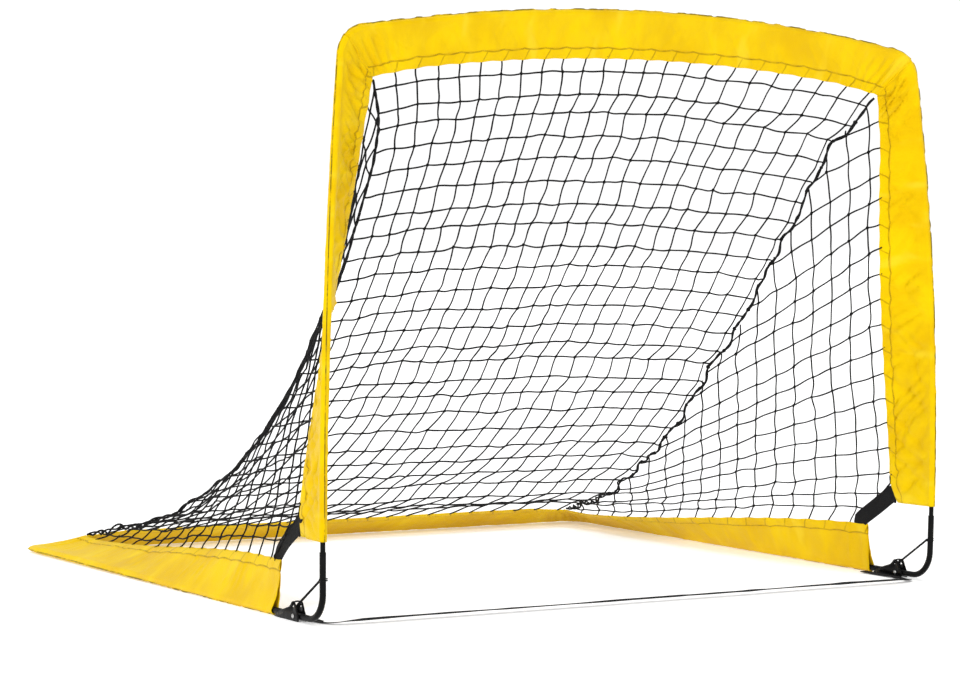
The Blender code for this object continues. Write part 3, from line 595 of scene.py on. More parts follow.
def arch_path():
    """Left half of the arch, and how far along it the top mitre is."""
    tail = place(-FOOT_HALF, PIVOT_BACK + ELBOW_TAIL, ROD_HEIGHT)
    foot = place(-FOOT_HALF, 0.0, ROD_HEIGHT)
    top = place(-TOP_HALF, ARCH_LEAN, CORNER_HEIGHT)
    pull = (foot + top) / 2 + np.array((-POST_BOW_OUT, -POST_BOW_FRONT, 0.0)) * 2
    low = fillet(tail, foot, pull, BEND_RADIUS, 16)
    high = fillet(pull, top, crown(np.array(-TOP_HALF + 0.02)), BEND_RADIUS, 20)
    t = np.linspace(0.0, 1.0, 50)[1:-1, None]
    post = low[-1] * (1 - t) ** 2 + pull * 2 * t * (1 - t) + high[0] * t * t
    bar = crown(high[-1, 0] * (1 - np.linspace(0.0, 1.0, 60)[1:]))
    path = np.vstack([tail, low, post, high, bar])
    mitre = lengths(path)[1 + len(low) + len(post) + len(high) // 2]
    return path, mitre


def run_to(height):
    """How far along the arch's left half it first passes a height."""
    fine = even(arch_path()[0], ARCH_POINTS)
    return lengths(fine)[np.argmax(fine[:, 2] > height)]


def base_path():
    """Left half of the base, and how far along it the rear mitre is."""
    front = place(-FOOT_HALF, SOCKET_START, ROD_HEIGHT)
    corner = place(-REAR_HALF, DEPTH, ROD_HEIGHT)
    middle = place(0.0, DEPTH, ROD_HEIGHT)
    bend = fillet(front, corner, middle, BEND_RADIUS, 20)
    path = np.vstack([front, bend, middle])
    return path, lengths(path)[1 + len(bend) // 2]


def post_hem(c):
    top = CORNER_HEIGHT - BAND_DROP
    fall = clipped((top - c[:, 2]) / (top - POST_SLEEVE_BOTTOM))
    early = np.sin(fall * math.pi / 2)
    width = 0.0645 + 0.0345 * early
    turn = np.radians(13.5 + 71.5 * (fall + early) / 2)
    return c + np.stack([width * np.cos(turn), width * np.sin(turn), np.zeros(len(c))], axis=1)


def crossbar_hem(c):
    tilt = math.radians(12)
    return c + np.array((0.0, math.sin(tilt), -math.cos(tilt))) * CROSSBAR_BAND


def side_hem(c):
    run = (c[:, 1] - FRONT_Y - BASE_SLEEVE_START) / (DEPTH - BASE_BAND - BASE_SLEEVE_START)
    lie = np.radians(-1.0 + 74.0 * (1 - (1 - clipped(run)) ** 1.65))
    return c + np.stack([np.sin(lie), np.zeros(len(c)), np.cos(lie)], axis=1) * SIDE_BAND


def back_hem(c):
    rise = math.radians(23)
    return c + np.array((0.0, -math.cos(rise), math.sin(rise))) * BASE_BAND


TOP_CORNER = place(-TOP_HALF + 0.0625, ARCH_LEAN + 0.015, CORNER_HEIGHT - BAND_DROP)
REAR_CORNER = place(-REAR_HALF + 0.077, DEPTH - 0.077, ROD_HEIGHT + 0.026)


def gathered(path, rule, corner, reached):
    """Hem points for centres that start at a mitre, drawn together at the corner."""
    s = lengths(path)
    lead = s[np.argmax(reached(path))]
    offset = corner - rule(at(path, np.array([lead])))[0]
    share = np.minimum(s / GATHER_REACH, 1.0)
    hem_at = np.maximum(s, lead + (GATHER_REACH - lead) * share)
    return rule(at(path, hem_at)) + offset * (1 - share)[:, None]


STATION = 4.2 * MM


def stretch(path, start, end):
    count = int(abs(end - start) / STATION) + 2
    return at(path, np.linspace(start, end, count))


def sleeve_lines():
    """Centres and hems of the left post, the crossbar, the left side and the back."""
    arch, mitre = arch_path()
    down = stretch(arch, mitre, run_to(POST_SLEEVE_BOTTOM))
    bar = stretch(arch, mitre, lengths(arch)[-1])
    post_edge = gathered(down, post_hem, TOP_CORNER, lambda p: p[:, 2] < TOP_CORNER[2])
    from_end = lengths(down)[-1] - lengths(down)
    drawn = 0.017 * clipped(1 - from_end / 0.034) ** 1.2
    post_edge = post_edge + unit(down - post_edge) * drawn[:, None]
    bar_edge = gathered(bar, crossbar_hem, TOP_CORNER, lambda p: p[:, 0] > TOP_CORNER[0])
    base, rear = base_path()
    side = stretch(base, rear, BASE_SLEEVE_START - SOCKET_START)
    back = stretch(base, rear, lengths(base)[-1])
    side_edge = gathered(side, side_hem, REAR_CORNER, lambda p: p[:, 1] < REAR_CORNER[1])
    from_front = lengths(side)[-1] - lengths(side)
    side_edge[:, 0] += 0.012 * clipped(1 - from_front / 0.45) ** 2
    back_edge = gathered(back, back_hem, REAR_CORNER, lambda p: p[:, 0] > REAR_CORNER[0])
    halves = (bar, bar_edge, back, back_edge)
    whole = [np.vstack([line, mirrored(line[:-1])[::-1]]) for line in halves]
    return (down, post_edge), whole[:2], (side, side_edge), whole[2:]


(POST, POST_EDGE), (BAR, BAR_EDGE), (SIDE, SIDE_EDGE), (BACK, BACK_EDGE) = sleeve_lines()


def seam_curve(count):
    route = [
        TOP_CORNER,
        place(-0.479, 0.072, 0.785),
        place(-0.453, 0.150, 0.675),
        place(-0.436, 0.270, 0.517),
        place(-0.432, 0.420, 0.352),
        place(-0.445, 0.600, 0.198),
        place(-0.480, 0.810, 0.088),
        REAR_CORNER,
    ]
    line = smooth_through(route, count)
    s = lengths(line)
    v = s / s[-1]
    slack = eased(clipped(v / 0.05) * clipped((0.24 - v) / 0.18))
    line = line + slack[:, None] * np.array((0.013, 0.012, -0.004))
    _, lateral, _ = frames(line, np.broadcast_to(SEAM_FACING, line.shape))
    sway = 3.2 * MM * np.cos(2 * math.pi * s / 0.104) + 5.5 * MM * noise(s / 0.061, 0.0, 77)
    sway = sway + 3.0 * MM * noise(s / 0.024, 0.0, 76)
    free = clipped(np.minimum(s, s[-1] - s) / 0.05)
    return line + lateral * (sway * free)[:, None]


# ---------------------------------------------------------------- folding


PIVOT = place(0.0, PIVOT_BACK, ROD_HEIGHT)


def polar(points):
    """Each point's distance from the fold's axis and its angle from lying flat, in degrees."""
    dy = points[:, 1] - PIVOT[1]
    dz = points[:, 2] - PIVOT[2]
    return np.hypot(dy, dz), np.degrees(np.arctan2(dz, dy))


def fold_limits(r):
    """The soft parts' lowest angle, and the arch's hem angle before and after the fold."""
    hem_r, hem_angle = polar(POST_EDGE[::-1])
    high = np.interp(r, hem_r, hem_angle - 0.3)
    low = 2.2 * clipped((r - 0.3) / 0.4)
    floor = np.degrees(np.arcsin(clipped(0.014 / np.maximum(r, 0.015))))
    return low, high, np.maximum(high - FOLD_DEGREES, floor)


def fold_share(points):
    """How much of the arch's fold a soft point follows, so that nothing crosses anything."""
    r, angle = polar(points)
    low, high, folded = fold_limits(r)
    t = clipped((angle - low) / (high - low))
    after = low + t * (folded - low)
    return np.where(angle > low, (np.minimum(angle, high) - after) / FOLD_DEGREES, 0.0)


def fold_with(obj, share):
    """Bakes obj's transform into its mesh; the share of the fold for each of its points is not
    used.
    """
    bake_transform(obj)
    share = np.asarray(share, np.float32)
    obj.data.update()


def stands_for(obj, node, body):
    """obj takes a CAD node's place and moves with its body."""
    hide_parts(node)
    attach(obj, body)


def points_of(obj):
    found = np.empty(len(obj.data.vertices) * 3, np.float32)
    obj.data.vertices.foreach_get("co", found)
    return found.reshape(-1, 3).astype(float)


# ---------------------------------------------------------------- sleeves


def folds(s, d, degrees, narrow, long, seed):
    """Creases that run at an angle across a band."""
    a = math.radians(degrees)
    x = (s * math.cos(a) + d * math.sin(a)) / narrow
    y = (d * math.cos(a) - s * math.sin(a)) / long
    bend = noise(x * 0.35, y * 0.8, seed + 1)
    crest = noise(x + bend * 0.9, y, seed)
    return (1 - np.abs(crest)) ** 3 - 0.3


def pointed(centres, name):
    """How far the cloth at each station reaches past the rod's bend, to a pointed rear corner."""
    s = lengths(centres)
    reach = np.zeros_like(centres)
    if not name.startswith(("side", "back")):
        return reach
    half = BEND_RADIUS * math.pi / 4
    sharp = np.array((REAR_HALF, FRONT_Y + DEPTH, ROD_HEIGHT))
    for from_mitre in (s, s[-1] - s) if two_mitres(name) else (s,):
        near = from_mitre < half
        k = np.argmin(from_mitre)
        corner = sharp * (math.copysign(1.0, centres[k, 0]), 1.0, 1.0)
        inwards = (-math.copysign(1.0, corner[0]), 0.0, 0.0)
        along = (0.0, -1.0, 0.0) if name.startswith("side") else inwards
        share = (from_mitre[near] / half)[:, None]
        reach[near] = corner + np.array(along) * BEND_RADIUS * share - centres[near]
    return reach


def band_waves(s, d, reach, ends, still, seed, style):
    """How far the band stands off its plane: nothing at the rod, and little at the hem."""
    billow, crease, fine, upright = style
    env = eased((reach[:, None] - d) / (26 * MM)) * (0.10 + 0.90 * clipped(d / (22 * MM)))
    lift = billow * (noise(s / 0.13, d / 0.10, seed) + 0.5 * noise(s / 0.055, d / 0.06, seed + 1))
    lift = lift + crease * folds(s, d, 38, 0.017, 0.085, seed + 2)
    lift = lift + crease * 0.7 * folds(s, d, -42, 0.026, 0.09, seed + 4)
    lift = lift + upright * folds(s, d, 4, 0.030, 0.16, seed + 6)
    lift = lift + fine * noise(s / 0.009, d / 0.013, seed + 8)
    lift = lift + crease * 0.35 * noise((s + d) / 0.024, (d - s) / 0.05, seed + 18)
    # Pulls that fan out from each mitre, and puckers along the stitching.
    pull = np.exp(-((ends / 0.075) ** 2))
    phase = 2 * math.pi * ends / 0.021 + 1.5 * noise(s / 0.02, d / 0.05, seed + 11)
    lift = lift + 2.6 * MM * pull * np.sin(phase)
    lift = lift * env * still
    pucker = 0.28 * MM * np.sin(2 * math.pi * s / (7 * MM) + 3 * noise(s / 0.03, 0.0, seed + 12))
    return lift + pucker * np.exp(-(((d - HEM_DEPTH) / (5 * MM)) ** 2))


def roll_radii(s, angle, still, seed):
    """The roll's radius round the rod, with its seam ridge on the outer side."""
    roll = ROLL_RADIUS + still * 0.35 * MM * noise(s / 0.016, angle[None, :] * 1.6, seed + 14)
    roll = roll + 0.25 * MM * noise(s / 0.005, angle[None, :] * 2.2, seed + 15)
    ridge = np.exp(-(((angle - math.pi) / 0.085) ** 2))[None, :]
    nick = np.clip(1.2 + 1.5 * noise(s / 0.011, 0.0, seed + 16), 0.35, 1.15)
    return np.maximum(roll, 6.35 * MM) + ridge * FIN * nick


def shell_quads(n, sides):
    """Quads of a tube with a second tube inside it, joined at both ends."""
    quads = grid_quads(n, sides, True).reshape(-1, 4)
    count = n * sides
    low = np.arange(sides)
    beside = (low + 1) % sides
    front = np.stack([beside, low, low + count, beside + count], axis=1)
    last = (n - 1) * sides
    back = np.stack([low, beside, beside + count, low + count], axis=1) + last
    return np.vstack([quads, quads[:, ::-1] + count, front, back])


def add_sleeve(name, centres, hems, cells, seed, style, material, thread):
    """A rod roll, a double band and a stitched hem, as cloth with a real thickness."""
    corner_reach = pointed(centres, name)
    n = len(centres)
    s = lengths(centres)[:, None]
    ahead = unit(np.gradient(centres, axis=0))
    reach = np.linalg.norm(hems - centres, axis=1)
    out = unit(hems - centres)
    face = unit(np.cross(ahead, out))
    square = np.cross(face, ahead)
    start = math.radians(70)
    near_rod = ROLL_RADIUS * math.cos(start)
    rod_half = ROLL_RADIUS * math.sin(start)
    rest = np.linspace(0.0, 1.0, BAND_STEPS + 1)[1:]
    band_end = reach - near_rod
    far = HEM_STOPS[-1] + (band_end - HEM_STOPS[-1])[:, None] * rest[None, :]
    d = np.concatenate([np.broadcast_to(HEM_STOPS, (n, len(HEM_STOPS))), far], axis=1)
    x = clipped((d - HEM_DEPTH) / (band_end[:, None] - HEM_DEPTH))
    hem_x = clipped(d / HEM_DEPTH)
    half = 0.62 * MM + (rod_half - 0.62 * MM) * x**2.3
    half = half + (d < HEM_DEPTH) * 1.15 * MM * np.sin(math.pi * hem_x) ** 0.6
    puff = 0.5 * MM * (noise(s / 0.045, d / 0.03, seed + 9) + 0.6) * np.sin(math.pi * x)
    ends = np.minimum(s, s[-1] - s) if two_mitres(name) else s
    still = eased(ends / 0.016)
    half = half + np.maximum(puff, 0.0) * still
    lift = band_waves(s, d, reach, ends, still, seed, style)
    tug = 0.65 * MM * np.cos(2 * math.pi * cells)[:, None] * clipped(1 - d / HEM_DEPTH)
    middle = centres[:, None] + out[:, None] * (reach[:, None] - d + tug)[..., None]
    middle = middle + face[:, None] * lift[..., None]
    angle = np.concatenate([np.linspace(start, math.pi - 0.24, 10)[1:], math.pi + FIN_ANGLES])
    angle = np.concatenate([angle, (2 * math.pi - angle)[-len(FIN_ANGLES) - 1 :: -1]])
    roll = roll_radii(s, angle, still, seed)
    spoke = square[:, None] * np.cos(angle)[:, None] + face[:, None] * np.sin(angle)[:, None]
    tide = 1 - np.abs(angle - math.pi) / (math.pi - start)
    beyond = corner_reach[:, None] * tide[None, :, None] ** 1.3
    turned = np.minimum(angle, 2 * math.pi - angle) - start
    deep = band_end[:, None] + ROLL_RADIUS * turned[None, :]

    def wall(inset):
        thin = np.maximum(half - inset, 0.10 * MM)
        ring = centres[:, None] + spoke * (roll - inset)[..., None] + beyond
        shift = np.where(d < 0.3 * MM, inset, 0.0)[..., None] * -out[:, None]
        upper = middle + shift + face[:, None] * thin[..., None]
        lower = middle + shift - face[:, None] * thin[..., None]
        return np.concatenate([upper, ring, lower[:, ::-1]], axis=1)

    points = np.stack([wall(0.0), wall(CLOTH)])
    sides = points.shape[2]
    depths = np.concatenate([d, deep, d[:, ::-1]], axis=1)
    rims = np.concatenate([0 * d[0], tide, 0 * d[0]])[None, :] + 0 * s
    shape = Shape()
    every = shell_quads(n, sides)
    row, column = np.divmod(every % (n * sides), sides)

    def corner_map(a, b):
        return np.stack([a[row, column], b[row, column]], axis=-1).reshape(-1, 2)

    columns = np.broadcast_to(s, depths.shape)
    netted = np.broadcast_to(cells[:, None], depths.shape)
    shape.add(
        points,
        every,
        cloth=corner_map(columns, depths),
        mesh=corner_map(netted, depths),
        rim=corner_map(rims, rims),
    )
    obj = shape.piece(name, material)
    girth = float(np.linalg.norm(np.diff(points[0], axis=1), axis=2).sum(axis=1).mean())
    k = int(np.argmin(np.abs(HEM_STOPS - HEM_DEPTH)))
    seams = [(points[0][:, k], face), (points[0][:, sides - 1 - k], -face)]
    stitches = add_stitches(f"{name}_stitching", seams, thread)
    return obj, stitches, (round(girth, 3), round(float(s[-1, 0]), 3))


def two_mitres(name):
    """The crossbar and back bands have a mitre at each end; the others only at their start."""
    return name in ("crossbar_band", "back_band")


def make_mitre(name, centres, hems, reach, material):
    """The fold where two bands are sewn together, from the hem's corner out past the rod."""
    centre, hem = centres[0], hems[0]
    out = unit(hem - centre)
    ahead = unit(centres[1] - centres[0])
    face = unit(np.cross(ahead, out))
    wide = np.linalg.norm(hem - centre)
    tip = wide + np.array((2.2, 4.2, 5.6, 6.6, 7.3)) * MM
    d = np.concatenate([np.linspace(0.6 * MM, wide, 34), tip])
    x = clipped((d - HEM_DEPTH) / (wide - HEM_DEPTH))
    half = 1.9 * MM + (ROLL_RADIUS - 1.2 * MM) * x**2.0
    past = clipped((d - wide) / (7.4 * MM))
    half = np.maximum(half * np.sqrt(1 - past**2), 0.5 * MM)
    wide_half = (1.5 + 0.5 * noise(d / 0.012, 0.0, 17) + 0.6 * x) * MM * (1 - 0.6 * past)
    sway = noise(d / 0.02, 0.0, 18) * 1.3 * MM * np.sin(math.pi * clipped(d / wide))
    line = hem - out * d[:, None] + reach * past[:, None] * 0.9 + ahead * sway[:, None]
    sides = 16
    angle = np.arange(sides) * 2 * math.pi / sides
    ring = face * np.cos(angle)[None, :, None] * half[:, None, None]
    ring = ring + ahead * np.sin(angle)[None, :, None] * wide_half[:, None, None]
    points = line[:, None] + ring
    quads, uv = closed_tube(points, d[:, None], angle[None, :] * 2 * MM)
    plain = np.tile((0.5, 0.05), (len(uv), 1))  # well away from the net's border
    shape = Shape()
    shape.add(points, quads, cloth=uv, mesh=plain, rim=plain * 0)
    return shape.piece(name, material)


def add_stitches(name, seams, thread):
    """Short stitches that sit on the cloth along a line."""
    shape = Shape()
    pitch = 3.9 * MM
    length = 3.0 * MM
    arch = np.array((0.0, 0.55, 1.0, 1.0, 0.55, 0.0))
    share = np.array((0.0, 0.1, 0.35, 0.65, 0.9, 1.0))
    thick = np.array((0.12, 0.27, 0.3, 0.3, 0.27, 0.12)) * MM
    for line, normal in seams:
        whole = lengths(line)
        for start in np.arange(pitch, whole[-1] - pitch, pitch):
            s = start + share * length
            base = at(line, s)
            up = sampled(normal, whole, s)
            path = base + up * (arch * 0.42 - 0.12)[:, None] * MM
            ahead = unit(path[-1:] - path[:1])
            side = unit(np.cross(ahead, up[:1]))
            trio = [np.repeat(v, len(s), axis=0) for v in (ahead, side, np.cross(side, ahead))]
            add_tube(shape, path, thick, 6, trio, start)
    return shape.piece(name, thread)


# ---------------------------------------------------------------- net


def knot_mould():
    """A small tight knot: a closed trefoil of twine, about 5 mm across."""
    t = np.linspace(0.0, 2 * math.pi, 27)[:-1]
    wide = 2 + np.cos(3 * t)
    path = np.stack([wide * np.cos(2 * t), wide * np.sin(2 * t), 1.1 * np.sin(3 * t)], axis=1)
    path = path * np.array((0.62, 0.52, 0.62)) * MM
    ahead = unit(np.roll(path, -1, axis=0) - np.roll(path, 1, axis=0))
    side = unit(np.cross(ahead, path + UP * MM))
    sides = 5
    points = path[:, None] + spokes(side, np.cross(side, ahead), sides) * 0.95 * MM
    quads = wrapped(grid_quads(len(path) + 1, sides, True), len(path) * sides)
    return points.reshape(-1, 3), quads.reshape(-1, 4)


KNOT_POINTS, KNOT_QUADS = knot_mould()


def add_knots(shape, places, first, second, size, rng):
    """A knot at each place, turned to its two strands."""
    first = unit(first)
    normal = unit(np.cross(first, second))
    second = np.cross(normal, first)
    spin = rng.uniform(-0.6, 0.6, len(places))[:, None]
    a = first * np.cos(spin) + second * np.sin(spin)
    b = second * np.cos(spin) - first * np.sin(spin)
    scale = size * rng.uniform(0.85, 1.15, len(places))[:, None, None]
    local = KNOT_POINTS[None] * scale
    points = places[:, None] + local[..., 0:1] * a[:, None] + local[..., 1:2] * b[:, None]
    points = points + local[..., 2:3] * normal[:, None]
    count = len(KNOT_POINTS)
    quads = KNOT_QUADS[None] + (np.arange(len(places)) * count)[:, None, None]
    shape.add(points, quads, run=np.zeros((quads.size, 2)))


def add_strand(shape, knots, slack, rng, radius=TWINE):
    """Twine through the knots, with a slight bow and wave between them."""
    cells = len(knots) - 1
    steps = 6
    t = np.linspace(0.0, cells, cells * steps + 1)
    index = np.minimum(t.astype(int), cells - 1)
    share = (t - index)[:, None]
    line = knots[index] * (1 - share) + knots[index + 1] * share
    bow = rng.normal(0.0, slack, (cells, 3)) - np.array((0.0, 0.0, 0.4 * slack))
    kink = rng.normal(0.0, slack * 0.35, (cells, 3))
    line = line + bow[index] * np.sin(math.pi * share) + kink[index] * np.sin(2 * math.pi * share)
    way = unit(line[-1] - line[0])
    ref = np.array((0.36, 0.48, 0.80)) if abs(way[0]) > 0.5 else np.array((0.9, 0.1, 0.42))
    thick = radius * (1 + 0.10 * noise(t * 2.3, 0.0, rng.integers(1 << 30)))
    add_tube(shape, line, thick, 6, frames(line, np.broadcast_to(ref, line.shape)))


def tucked(end, centres, hems):
    """A strand's end moved into the hem that it meets."""
    near = np.argmin(np.linalg.norm(hems - end, axis=1))
    return hems[near] + unit(centres[near] - hems[near]) * TUCK


def edge_of(line, share):
    return at(line, lengths(line)[-1] * share)


def back_surface(v, u):
    """The back net's surface: v runs down from the crossbar, u runs across."""
    seam = seam_curve(SEAM_POINTS)
    left = edge_of(seam, v)
    right = mirrored(left)
    flat = left[:, None] * (1 - u)[None, :, None] + right[:, None] * u[None, :, None]
    bow = edge_of(BAR_EDGE, u) - (BAR_EDGE[0] + (BAR_EDGE[-1] - BAR_EDGE[0]) * u[:, None])
    rise = edge_of(BACK_EDGE, u) - (BACK_EDGE[0] + (BACK_EDGE[-1] - BACK_EDGE[0]) * u[:, None])
    return flat + bow[None] * ((1 - v) ** 1.5)[:, None, None] + rise[None] * (v**1.5)[:, None, None]


def make_back_net(material):
    rng = np.random.default_rng(7)
    v, u = row_shares(), column_shares()
    knots = back_surface(v, u)

    def free_of(x):
        """0 at the net's edge, and 1 from a sixteenth of its width inwards."""
        return np.sin(math.pi * np.clip(x * 8, 0.0, 0.5))

    free = free_of(v)[:, None] * free_of(u) * free_of(1 - v)[:, None] * free_of(1 - u)
    grid_v, grid_u = np.meshgrid(v, u, indexing="ij")
    drift = np.stack([noise(grid_v * 5, grid_u * 5, 40 + k) for k in range(3)], axis=-1)
    drift = drift * np.array((3.0, 5.0, 3.0)) * MM + rng.normal(0.0, KNOT_SPREAD, knots.shape)
    knots = knots + free[..., None] * drift
    shape = Shape()
    for j in range(1, COLUMNS):
        top = tucked(knots[0, j], BAR, BAR_EDGE)
        foot = tucked(knots[-1, j], BACK, BACK_EDGE)
        line = np.vstack([top, knots[1:-1, j], foot])
        add_strand(shape, line, 1.0 * MM, rng)
    for i in range(1, ROWS + 1):
        add_strand(shape, knots[i], 1.0 * MM, rng)
    inner = knots[1:-1, 1:-1]
    down = (knots[2:, 1:-1] - knots[:-2, 1:-1]).reshape(-1, 3)
    over = (knots[1:-1, 2:] - knots[1:-1, :-2]).reshape(-1, 3)
    add_knots(shape, inner.reshape(-1, 3), down, over, KNOT_SIZE, rng)
    obj = shape.piece("back_netting", material)
    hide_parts("back_net")
    return obj


def side_edge_line():
    """The side net's front edge: the post's hem, then across to the side band's front."""
    above = POST_EDGE[POST_EDGE[:, 2] > 0.160]
    middle = (POST_EDGE[-1] + SIDE_EDGE[-1]) / 2 + np.array((0.0, 0.019, 0.019))
    return np.vstack([above, middle, SIDE_EDGE[-1] + (0.0, 0.024, 0.004)])


def side_row(v, front, seam, hem):
    """One row line of the left side net, from its front edge to the seam."""
    u = np.linspace(0.0, 1.0, 80)
    a = edge_of(front, np.array([v]))[0]
    b = edge_of(seam, np.array([v * (1.35 - 0.35 * v)]))[0]
    sag = edge_of(hem, u) - (hem[0] + (hem[-1] - hem[0]) * u[:, None])
    return a + (b - a) * u[:, None] + sag * v**3


def side_grid(rows, steps, pitch, lead, rng):
    """The side net's knots, by row and column."""
    grid = {}
    for i in range(1, SIDE_ROWS + 1):
        for k in range(1, steps[i] + 1):
            reach = (k - SIDE_START) * pitch[i] - lead[i]
            if reach < FIRST_CELL_LEAST:
                continue
            point = at(rows[i], np.array([reach]))[0]
            if i < SIDE_ROWS:
                drift = [noise(i * 0.31, k * 0.31, 60 + axis) for axis in range(3)]
                point = point + np.array(drift) * SIDE_DRIFT + rng.normal(0.0, KNOT_SPREAD, 3)
            grid[i, k] = point
    return grid


def make_side_net(side, material):
    rng = np.random.default_rng(21 if side == "left" else 22)
    front = side_edge_line()
    seam = seam_curve(SEAM_POINTS)
    hem = SIDE_EDGE[::-1]
    shape = Shape()
    rows = [side_row(i / SIDE_ROWS, front, seam, hem) for i in range(SIDE_ROWS + 1)]
    wide = [lengths(row)[-1] for row in rows]
    pitch = [side_pitch(i / SIDE_ROWS) for i in range(SIDE_ROWS + 1)]
    lead = [side_lead(i) for i in range(SIDE_ROWS + 1)]
    sizes = list(zip(wide, pitch, lead))
    steps = [int((w + gap - LAST_CELL_LEAST) / cell + SIDE_START) for w, cell, gap in sizes]
    reached = [(w + gap) / cell + SIDE_START for w, cell, gap in sizes]
    grid = side_grid(rows, steps, pitch, lead, rng)
    places, firsts, seconds = [], [], []
    for i in range(1, SIDE_ROWS):
        on_hem = rows[i][0, 2] > 0.17
        knots = [tucked(rows[i][0], POST, POST_EDGE) if on_hem else rows[i][0]]
        knots += [grid[i, k] for k in range(1, steps[i] + 1) if (i, k) in grid]
        knots.append(rows[i][-1])
        add_strand(shape, sided(np.array(knots), side), 1.1 * MM, rng)
    for k in range(1, max(steps) + 1):
        held = [i for i in range(1, SIDE_ROWS + 1) if (i, k) in grid]
        first = held[0]
        above, below = rows[first - 1][-1], rows[first][-1]
        share = np.interp(k, reached[first - 1 : first + 1], [0.0, 1.0])
        knots = [share * (below - above) + above]
        knots += [grid[i, k] for i in held]
        if held[-1] == SIDE_ROWS:
            knots[-1] = tucked(knots[-1], SIDE, SIDE_EDGE)
        else:
            knots.append(edge_of(front, np.array([(held[-1] + 0.8) / SIDE_ROWS]))[0])
        add_strand(shape, sided(np.array(knots), side), 1.1 * MM, rng)
        for i in held:
            if i < SIDE_ROWS:
                places.append(grid[i, k])
                firsts.append(grid.get((i + 1, k), grid[i, k] + (0, 0, -0.01)) - grid[i, k])
                ahead = grid.get((i, k - 1), rows[i][0])
                seconds.append(ahead - grid[i, k])
    low = front[front[:, 2] < 0.185]
    low = np.vstack([tucked(low[0], POST, POST_EDGE), low[1::3], tucked(low[-1], SIDE, SIDE_EDGE)])
    add_strand(shape, sided(low, side), 0.4 * MM, rng, TWINE * 1.2)
    arrays = [sided(np.array(group), side) for group in (places, firsts, seconds)]
    add_knots(shape, *arrays, KNOT_SIZE, rng)
    obj = shape.piece(f"side_netting_{side}", material)
    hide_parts(f"side_net_{side}")
    return obj


def make_lacing(side, material):
    """Two strands laid round each other along a seam, tied at each row of the net."""
    rng = np.random.default_rng(31 if side == "left" else 32)
    seam = seam_curve(SEAM_POINTS)
    whole = lengths(seam)[-1]
    trimmed = even(seam, 700)[4:-4]
    s = lengths(trimmed)
    ahead, lateral, up = frames(trimmed, np.broadcast_to(SEAM_FACING, trimmed.shape))
    loose = clipped((s - (whole - 0.40)) / 0.30)
    sway = np.cos(2 * math.pi * s / (whole / ROWS)) * 1.6 * MM
    rise = noise(s / 0.06, 3.0, 78) * 2.0 * MM
    ends = clipped(np.minimum(s, s[-1] - s) / 0.03)
    core = trimmed + lateral * (sway * ends)[:, None]
    core = core + up * (rise * ends + loose * 3.0 * MM)[:, None]
    shape = Shape()
    turn = 2 * math.pi * s / 0.058 + 1.2 * noise(s / 0.08, 5.0, 79)
    for phase, radius in ((0.0, 1.90 * MM), (math.pi, 1.65 * MM)):
        away = (1.15 + 3.0 * loose + 0.5 * noise(s / 0.03, phase, 80)) * MM * (0.25 + 0.75 * ends)
        swing = lateral * (np.cos(turn + phase) * away)[:, None]
        swing = swing + up * (np.sin(turn + phase) * away * 0.75)[:, None]
        add_tube(shape, sided(core + swing, side), radius, 8)
    stops = np.arange(1, ROWS) * whole / ROWS
    groups = (at(core, stops), sampled(ahead, s, stops), sampled(lateral, s, stops))
    add_knots(shape, *[sided(group, side) for group in groups], LACING_KNOT_SIZE, rng)
    obj = shape.piece(f"seam_lacing_{side}", material)
    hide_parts(f"seam_cord_{side}")
    return obj


# ---------------------------------------------------------------- straps, stays and feet


def make_corner_strap(side, material):
    """Flat webbing from the post band's hem to the side band's, each end square to its hem."""
    ends = []
    for centres, hems, far in ((POST, POST_EDGE, 0.0155), (SIDE, SIDE_EDGE, 0.0165)):
        toward, meet, past = at(hems[::-1], np.array([far - 0.007, far, far + 0.007]))
        ends.append((meet, unit(tucked(meet, centres, hems) - meet), unit(toward - past)))
    (leave, in_post, down), (meet, in_band, forward) = ends
    middle = (leave + meet) / 2 + np.array((-0.001, 0.0045, 0.0045))
    route = [leave + in_post * 0.005, leave, leave - in_post * 0.006, middle]
    route += [meet - in_band * 0.008, meet, meet + in_band * 0.005]
    path = smooth_through(route, 40)
    share = (lengths(path) / lengths(path)[-1])[:, None]
    across = down * (1 - share) + forward * share
    way = unit(np.gradient(path, axis=0))
    across = across - way * (across * way).sum(axis=1, keepdims=True)
    shape = Shape()
    add_ribbon(shape, sided(path, side), sided(across, side), 0.030, 1.3 * MM, 0.0, 12)
    obj = shape.piece(f"corner_webbing_{side}", material)
    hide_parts(f"corner_strap_{side}")
    return obj


